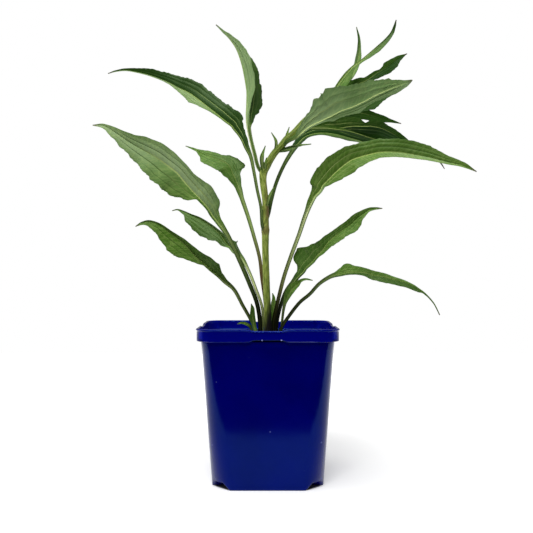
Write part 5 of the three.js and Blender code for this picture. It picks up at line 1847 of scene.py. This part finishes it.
@dataclass
class NurseryPot:
    """A deep square pot with a skirt under its lip and a cross-shaped foot.

    Side_steps are the points along the first half of a side and notch_ends where the skirt's notch
    ends, both as shares of half the side's straight run. Corner_angles are the points along the
    first half of a corner, in degrees.
    """

    height: float = 126.0
    lip_width: float = 111.5
    lip_height: float = 1.3
    skirt_width: float = 110.4
    skirt_height: float = 9.8
    body_top_width: float = 104.0
    base_width: float = 89.0
    wall: float = 1.3
    top_corner: float = 12.5
    base_corner: float = 18.0
    lip_dip: float = 1.3
    skirt_notch: float = 1.5
    foot_width: float = 59.0
    foot_rise: float = 5.5
    foot_slant: float = 5.5
    drain_radius: float = 5.0
    drain_place: float = 27.0
    drain_sides: int = 32
    notch_ends: Span = (0.24, 0.38)
    tab_places: Span = (-4.4, 10.4)
    tab_size: Triple = (1.4, 1.1, 1.1)
    tab_level: float = 117.7
    tab_sunk: float = 0.3
    tab_bevel: float = 0.25
    sharp_over: float = 38.0
    side_steps: tuple[float, ...] = (-0.8, -0.55, -0.4, -0.34, -0.29, -0.24, -0.16, -0.08)
    corner_angles: tuple[float, ...] = (4.0, 9.6, 18.0, 28.2, 36.6)

    def outline(self) -> list[tuple[int, float, float]]:
        """Places the points round the square.

        Returns:
            Points as side number, share of its run and corner angle.
        """
        steps = [*self.side_steps, 0.0, *(-step for step in reversed(self.side_steps))]
        turns = [*self.corner_angles, 45.0, *(90 - angle for angle in reversed(self.corner_angles))]
        points = []
        for side in range(4):
            points.append((side, -1.0, 0.0))
            points += [(side, step, 0.0) for step in steps]
            points.append((side, 1.0, 0.0))
            points += [(side, 1.0, angle) for angle in turns]
        return points

    def spot(self, point: tuple[int, float, float], width: float, corner: float) -> Vector:
        """Finds where a point of the outline lies on a rounded square.

        Args:
            point: The point.
            width: The square's width.
            corner: Its corners' radius.

        Returns:
            The place, on the ground.
        """
        side, step, angle = point
        run = width / 2 - corner
        turn = math.radians(angle)
        flat = Vector((run + corner * math.cos(turn), step * run + corner * math.sin(turn), 0))
        flat.rotate(Matrix.Rotation(side * math.pi / 2, 3, "Z"))
        return flat

    def foot_lift(self, spot: Vector) -> float:
        """Returns how far the underside is raised at a place. Only its corners are."""
        inner = min(abs(spot.x), abs(spot.y))
        half = self.foot_width / 2
        return self.foot_rise * ramp(inner, half, half + self.foot_slant)

    def body_row(self, z: float, inset: float, foot: float = 0.0) -> ProfileRow:
        """Makes a ring of the tapered body.

        Args:
            z: The height.
            inset: How far it is drawn in.
            foot: The share of the foot's rise.

        Returns:
            The ring.
        """
        top = self.height - self.skirt_height
        width = lerp(self.base_width, self.body_top_width, z / top)
        corner = lerp(self.base_corner, self.top_corner, z / top)
        return ProfileRow(z, width - 2 * inset, corner - inset, foot=foot)

    def profile(self) -> list[ProfileRow]:
        """Lists the rings of the skin.

        Returns:
            The rings from the middle of the underside, over the lip, to the inner floor.
        """
        skirt_foot = self.height - self.skirt_height
        lip_foot = self.height - self.lip_height
        half = self.foot_width / 2
        reaches = (0.0, half / 2, half, half + self.foot_slant)
        under = [ProfileRow(0, reach=reach, foot=1) for reach in reaches]
        over = [ProfileRow(self.wall, reach=reach, foot=1) for reach in reversed(reaches)]
        corner, notch, dip = self.top_corner, self.skirt_notch, -self.lip_dip
        bore = self.skirt_width - 2 * self.wall
        outside = (
            (skirt_foot - 2.2, self.body_top_width, notch * 0.6),
            (skirt_foot - 0.6, self.body_top_width, notch),
            (skirt_foot - 0.1, self.body_top_width + 0.7, notch),
            (skirt_foot, self.skirt_width - 0.4, notch),
            (skirt_foot + 0.2, self.skirt_width, notch),
            (skirt_foot + 0.6, self.skirt_width, notch),
            (skirt_foot + 2.4, self.skirt_width, notch * 0.4),
            (lip_foot - 1.5, self.skirt_width, 0),
            (lip_foot - 0.6, self.skirt_width + 0.1, dip * 0.6),
            (lip_foot - 0.1, self.lip_width - 0.3, dip),
            (lip_foot + 0.3, self.lip_width, dip),
            (self.height - 0.7, self.lip_width, dip),
            (self.height - 0.3, self.lip_width - 0.4, dip),
            (self.height, self.lip_width - 1.3, dip),
        )
        inside = (
            (self.height, bore + 1.0, dip),
            (self.height - 0.3, bore + 0.3, dip),
            (self.height - 0.9, bore, dip),
            (self.height - 3.0, bore, 0),
            (skirt_foot + 2.2, bore, 0),
            (skirt_foot + 1.7, bore - 0.6, 0),
            (skirt_foot + 1.3, self.body_top_width - 2 * self.wall + 0.4, 0),
            (skirt_foot + 0.8, self.body_top_width - 2 * self.wall, 0),
        )
        foot_rounding = ((0.0, 0.7), (0.2, 0.25), (0.8, 0.0), (2.0, 0.0))
        return [
            *under,
            *(self.body_row(z, inset, foot=1) for z, inset in foot_rounding),
            *(self.body_row(z, 0.0) for z in (9.0, 40.0, 80.0, 108.0)),
            *(ProfileRow(z, width, corner, lift) for z, width, lift in outside),
            *(ProfileRow(z, width, corner - self.wall, lift) for z, width, lift in inside),
            *(self.body_row(z, self.wall) for z in (60.0, 9.0 + self.wall)),
            self.body_row(self.wall + 0.6, self.wall, foot=1),
            self.body_row(self.wall, self.wall + 0.6, foot=1),
            *over,
        ]

    def ring(self, row: ProfileRow) -> list[SkinPoint]:
        """Places the points of one ring.

        Args:
            row: The ring.

        Returns:
            Its points, once round.
        """
        points = []
        for point in self.outline():
            base = self.spot(point, self.base_width, self.base_corner)
            if row.reach is None:
                spot = self.spot(point, row.width, row.corner)
                middle = 1 - soft_ramp(abs(point[1]), *self.notch_ends)
                lift = row.dip * middle + row.foot * self.foot_lift(base)
            else:
                spot = Vector([max(-row.reach, min(row.reach, value)) for value in base])
                lift = self.foot_lift(spot)
            points.append(SkinPoint(Vector((spot.x, spot.y, row.z + lift))))
        return points

    def drill(self, pot: bpy.types.Object) -> None:
        """Cuts the drain holes through the floor.

        Args:
            pot: The pot's object, whose mesh is changed.
        """
        cutter = bmesh.new()
        for x in (-self.drain_place, self.drain_place):
            for y in (-self.drain_place, self.drain_place):
                bmesh.ops.create_cone(
                    cutter,
                    cap_ends=True,
                    segments=self.drain_sides,
                    radius1=self.drain_radius * MM,
                    radius2=self.drain_radius * MM,
                    depth=4 * self.foot_rise * MM,
                    matrix=Matrix.Translation(Vector((x, y, 0)) * MM),
                )
        drills = make_object(cutter, "drain_drills", (BLUE_PLASTIC,))
        cut = pot.modifiers.new("drain_holes", "BOOLEAN")
        cut.operation = "DIFFERENCE"
        cut.object = drills
        bpy.context.view_layer.update()
        evaluated = pot.evaluated_get(bpy.context.evaluated_depsgraph_get())
        drilled = bpy.data.meshes.new_from_object(evaluated)
        pot.modifiers.clear()
        pot.data = drilled
        bpy.data.objects.remove(drills)

    def build_tabs(self) -> bpy.types.Object:
        """Makes the two little tabs in the skirt's notch on each side, pale as a painted highlight.

        Returns:
            The tabs as one piece.
        """
        mesh = bmesh.new()
        out = self.skirt_width / 2 - self.tab_sunk
        size = Matrix.Diagonal((*self.tab_size, 1 / MM)) * MM
        for side in range(4):
            turn = Matrix.Rotation(side * math.pi / 2, 4, "Z")
            for place in self.tab_places:
                spot = Matrix.Translation(Vector((out, place, self.tab_level)) * MM)
                bmesh.ops.create_cube(mesh, size=1.0, matrix=turn @ spot @ size)
        bmesh.ops.bevel(
            mesh,
            geom=list(mesh.edges),
            affect="EDGES",
            offset=self.tab_bevel * MM,
            segments=2,
            profile=0.5,
            material=-1,
        )
        return make_piece(mesh, "skirt_tabs", (TAB_HIGHLIGHT_PLASTIC,))

    def build(self) -> bpy.types.Object:
        """Makes the pot."""
        mesh = RolledSheet([self.ring(row) for row in self.profile()]).closed(self.sharp_over)
        pot = make_object(mesh, "nursery_pot_skin", (BLUE_PLASTIC,))
        self.drill(pot)
        finished = bmesh.new()
        finished.from_mesh(pot.data)
        soften_edges(finished, self.sharp_over)
        finished.to_mesh(pot.data)
        finished.free()
        self.build_tabs()
        return add_piece(pot, ("nursery_pot",))


# ---------------------------------------- the potting soil


@dataclass(frozen=True)
class Litter:
    """Lumps of one kind that lie on the soil.

    Radii are the least and the greatest in millimetres, and flattest is the least height of a lump
    as a share of its radius.
    """

    name: str
    finish: Finish
    count: int
    radii: Span
    flattest: float


@dataclass
class PottingSoil:
    """The loose top of the soil, with crumbs, bark chips and perlite.

    Lengths are millimetres. Sunk, widths, greatest_height and dent are shares of a lump's radius,
    and the greater fineness is, the more of the lumps are small.
    """

    pot: NurseryPot
    level: float = 111.0
    mound: float = 1.8
    roughness: float = 1.3
    lump_size: float = 7.0
    grid: int = 110
    skirt: float = 3.0
    gap: float = 0.5
    bare_edge: float = 2.0
    sunk: float = 0.2
    fineness: float = 2.5
    widths: Span = (0.6, 1.3)
    greatest_height: float = 0.9
    greatest_tilt: float = 0.6
    dent: float = 0.16
    seed: int = 17

    LITTER = (
        Litter("soil_crumbs", CRUMB, count=900, radii=(0.5, 2.6), flattest=0.6),
        Litter("bark_chips", BARK, count=90, radii=(1.2, 4.2), flattest=0.22),
        Litter("perlite_grains", PERLITE, count=80, radii=(0.5, 1.7), flattest=0.7),
    )

    def __post_init__(self) -> None:
        """Works out the free width inside the wall, and starts a seeded run of draws."""
        share = self.level / (self.pot.height - self.pot.skirt_height)
        outer = lerp(self.pot.base_width, self.pot.body_top_width, share)
        self.width = outer - 2 * self.pot.wall - self.gap
        self.draws = random.Random(self.seed)

    def surface(self, x: float, y: float) -> float:
        """Returns the height of the soil's top at a place."""
        reach = min(1.0, math.hypot(x, y) / (self.width / 2))
        rough = noise.fractal(Vector((x, y, 3.0)) / self.lump_size, 1.0, 2.1, 4)
        return self.level + self.mound * (1 - reach) ** 2 + self.roughness * rough

    def squeeze(self, x: float, y: float) -> Span:
        """Moves a place of a square so that the square gets the pot's round corners.

        Args:
            x: Its distance along X.
            y: Its distance along Y.

        Returns:
            The new distances.
        """
        half, corner = self.width / 2, self.pot.top_corner - self.pot.wall
        run = half - corner
        over_x, over_y = max(0.0, abs(x) - run), max(0.0, abs(y) - run)
        if over_x == 0 or over_y == 0:
            return x, y
        shrink = max(over_x, over_y) / math.hypot(over_x, over_y)
        return (
            math.copysign(run + over_x * shrink, x),
            math.copysign(run + over_y * shrink, y),
        )

    def build_top(self) -> bpy.types.Object:
        """Makes the rough sheet that covers the soil, as a closed slab.

        Returns:
            The piece.
        """
        mesh = bmesh.new()
        steps = self.grid
        bmesh.ops.create_grid(mesh, x_segments=steps, y_segments=steps, size=self.width / 2)
        for vert in mesh.verts:
            x, y = self.squeeze(vert.co.x, vert.co.y)
            vert.co = Vector((x, y, self.surface(x, y))) * MM
        walls = bmesh.ops.extrude_face_region(mesh, geom=list(mesh.faces))
        sunk = [item for item in walls["geom"] if isinstance(item, bmesh.types.BMVert)]
        for vert in sunk:
            vert.co.z = (self.level - self.skirt) * MM
        bmesh.ops.recalc_face_normals(mesh, faces=mesh.faces)
        soften_edges(mesh, 70)
        return make_piece(mesh, "soil_top", (PEAT,))

    def draw_place(self, sunk: float) -> Vector:
        """Draws a place on the soil, sunk by this much."""
        half = self.width / 2 - self.bare_edge
        x, y = self.squeeze(self.draws.uniform(-half, half), self.draws.uniform(-half, half))
        return Vector((x, y, self.surface(x, y) - sunk))

    def scatter(self, litter: Litter) -> bpy.types.Object:
        """Scatters lumps over the soil, and makes them one piece.

        Args:
            litter: The kind of lumps.

        Returns:
            The piece.
        """
        mesh = bmesh.new()
        for _ in range(litter.count):
            radius = lerp(*litter.radii, self.draws.random() ** self.fineness)
            widths = [self.draws.uniform(*self.widths) for _ in range(2)]
            height = self.draws.uniform(litter.flattest, self.greatest_height)
            spin = Matrix.Rotation(self.draws.uniform(0, math.pi), 4, "Z")
            angle = self.draws.uniform(-self.greatest_tilt, self.greatest_tilt)
            shape = Matrix.Rotation(angle, 4, "X") @ Matrix.Diagonal((*widths, height, 1.0))
            spot = Matrix.Translation(self.draw_place(radius * self.sunk) * MM)
            made = bmesh.ops.create_icosphere(
                mesh,
                subdivisions=1,
                radius=radius * MM,
                matrix=spot @ spin @ shape,
            )
            for vert in made["verts"]:
                dent = Vector([self.draws.uniform(-self.dent, self.dent) for _ in range(3)])
                vert.co += dent * radius * MM
        soften_edges(mesh, 30)
        return make_piece(mesh, litter.name, (litter.finish,))

    def build(self) -> None:
        """Makes the top and all that lies on it."""
        self.build_top()
        for litter in self.LITTER:
            self.scatter(litter)


# ---------------------------------------- the studio


@dataclass(frozen=True)
class Panel:
    """A square soft light: its name, place and side in millimetres, and its power in watts."""

    name: str
    place: Triple
    side: float
    power: float


@dataclass
class Studio:
    """A pale table in a white room, lit softly from above, with the camera before it.

    Lengths are millimetres. The focal length, the centre and the horizon are in picture pixels.
    """

    camera_y: float = -575.0
    camera_z: float = 166.0
    focal_pixels: float = 685.0
    centre_x: float = 267.8
    horizon_y: float = 276.7
    table_front: float = -169.0
    table_back: float = 900.0
    table_side: float = 900.0
    aim_height: float = 180.0
    room_light: Colour = grey(0.38)
    room_dark: Colour = grey(0.015)
    room_seen: Colour = grey(1.0)
    dark_sides: Span = (0.84, 0.93)
    dark_top: Span = (0.25, 0.6)
    dark_below: Span = (-0.12, 0.0)
    dark_front: Span = (-0.2, 0.5)

    PANELS = (
        Panel("sky_panel", (-260, -120, 1150), side=900, power=6.0),
        Panel("front_panel", (-120, -800, 950), side=500, power=8.0),
    )

    def build_camera(self) -> None:
        """Makes the camera, level, with the small shift that the framing needs."""
        data = bpy.data.cameras.new("camera")
        data.sensor_width = SENSOR_WIDTH
        data.lens = SENSOR_WIDTH * self.focal_pixels / IMAGE_SIDE
        data.shift_x = (IMAGE_SIDE / 2 - self.centre_x) / IMAGE_SIDE
        data.shift_y = (self.horizon_y - IMAGE_SIDE / 2) / IMAGE_SIDE
        camera = bpy.data.objects.new("camera", data)
        camera.location = Vector((0, self.camera_y, self.camera_z)) * MM
        camera.rotation_euler = (math.pi / 2, 0, 0)
        bpy.context.collection.objects.link(camera)
        bpy.context.scene.camera = camera

    def build_table(self) -> None:
        """Makes the table top, which ends a little way in front of the pot."""
        mesh = bmesh.new()
        depth = self.table_back - self.table_front
        middle = Vector((0, (self.table_back + self.table_front) / 2, 0)) * MM
        place = Matrix.Translation(middle)
        size = Matrix.Diagonal((self.table_side * MM, depth / 2 * MM, 1, 1))
        bmesh.ops.create_grid(mesh, x_segments=8, y_segments=8, size=1.0, matrix=place @ size)
        make_object(mesh, "table_top", (TABLE_TOP,))

    def build_light(self, panel: Panel) -> None:
        """Makes a light that shines at the plant.

        Args:
            panel: Its name, place, side and power.
        """
        data = bpy.data.lights.new(panel.name, "AREA")
        data.size = panel.side * MM
        data.energy = panel.power
        light = bpy.data.objects.new(panel.name, data)
        light.location = Vector(panel.place) * MM
        aim = Vector((0, 0, self.aim_height)) * MM - light.location
        light.rotation_euler = aim.to_track_quat("-Z", "Y").to_euler()
        bpy.context.collection.objects.link(light)

    def build_room(self) -> None:
        """Makes the white room, which is dark behind the camera and below the table's front.

        The spans of darkness are shares of a direction of length 1, and the sides' of a level one.
        """
        world = bpy.data.worlds.new("white_room")
        world.use_nodes = True
        bpy.context.scene.world = world
        graph = Graph(world.node_tree)
        toward = graph.coordinates("Generated")
        x, y, z = (graph.axis(toward, name) for name in "XYZ")
        front = y * -1
        level = (x * x + y * y) ** 0.5 + 0.0001
        behind_camera = (front / level).ramp(*self.dark_sides) * (1 - z.ramp(*self.dark_top))
        below = (1 - z.ramp(*self.dark_below)) * front.ramp(*self.dark_front)
        dark = behind_camera + below * (1 - behind_camera)
        room = graph.mix(dark, self.room_light, self.room_dark)
        seen = Value(graph, graph.node("ShaderNodeLightPath").outputs["Is Camera Ray"])
        colour = graph.mix(seen, room, self.room_seen)
        shade = graph.node("ShaderNodeBackground", None, {"Color": colour, "Strength": 1.0})
        graph.node("ShaderNodeOutputWorld", None, {0: Link(graph, shade.outputs[0])})

    def build(self) -> None:
        """Makes camera, table, lights and room."""
        self.build_camera()
        self.build_table()
        for panel in self.PANELS:
            self.build_light(panel)
        self.build_room()
        bpy.context.scene.view_settings.view_transform = "Standard"


# ---------------------------------------- putting it together


def coat(solid: bpy.types.Object, finish: Finish) -> None:
    """Gives one of the frame's own solids a finish."""
    solid.data.materials.clear()
    solid.data.materials.append(finish.material())


def grow_leaves(hairs: PlantHairs) -> None:
    """Makes every leaf, with hairs on the petiole of each broad one.

    Args:
        hairs: The mesh that collects the hairs.
    """
    for forms, first_seed in ((BASAL_LEAVES, 1), (STEM_LEAVES, 31)):
        for seed, form in enumerate(forms, start=first_seed):
            leaf = Leaf(form, seed)
            leaf.build(Slot.LEAF, f"{form.name}_skin", form.name)
            if not form.narrow:
                hairs.cover_petiole(leaf)


def main() -> None:
    """Builds the studio and the plant in its pot, in order."""
    logging.basicConfig(level=logging.INFO, format="%(message)s")
    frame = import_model()
    Studio().build()
    pot = NurseryPot()
    pot.build()
    coat(frame["nodes"]["potting_soil"], PEAT)
    PottingSoil(pot).build()
    stem = FlowerStem()
    stem.build()
    stem.build_young_leaves()
    hairs = PlantHairs()
    hairs.cover_stem(stem)
    grow_leaves(hairs)
    hairs.build()


if __name__ == "__main__":
    main()
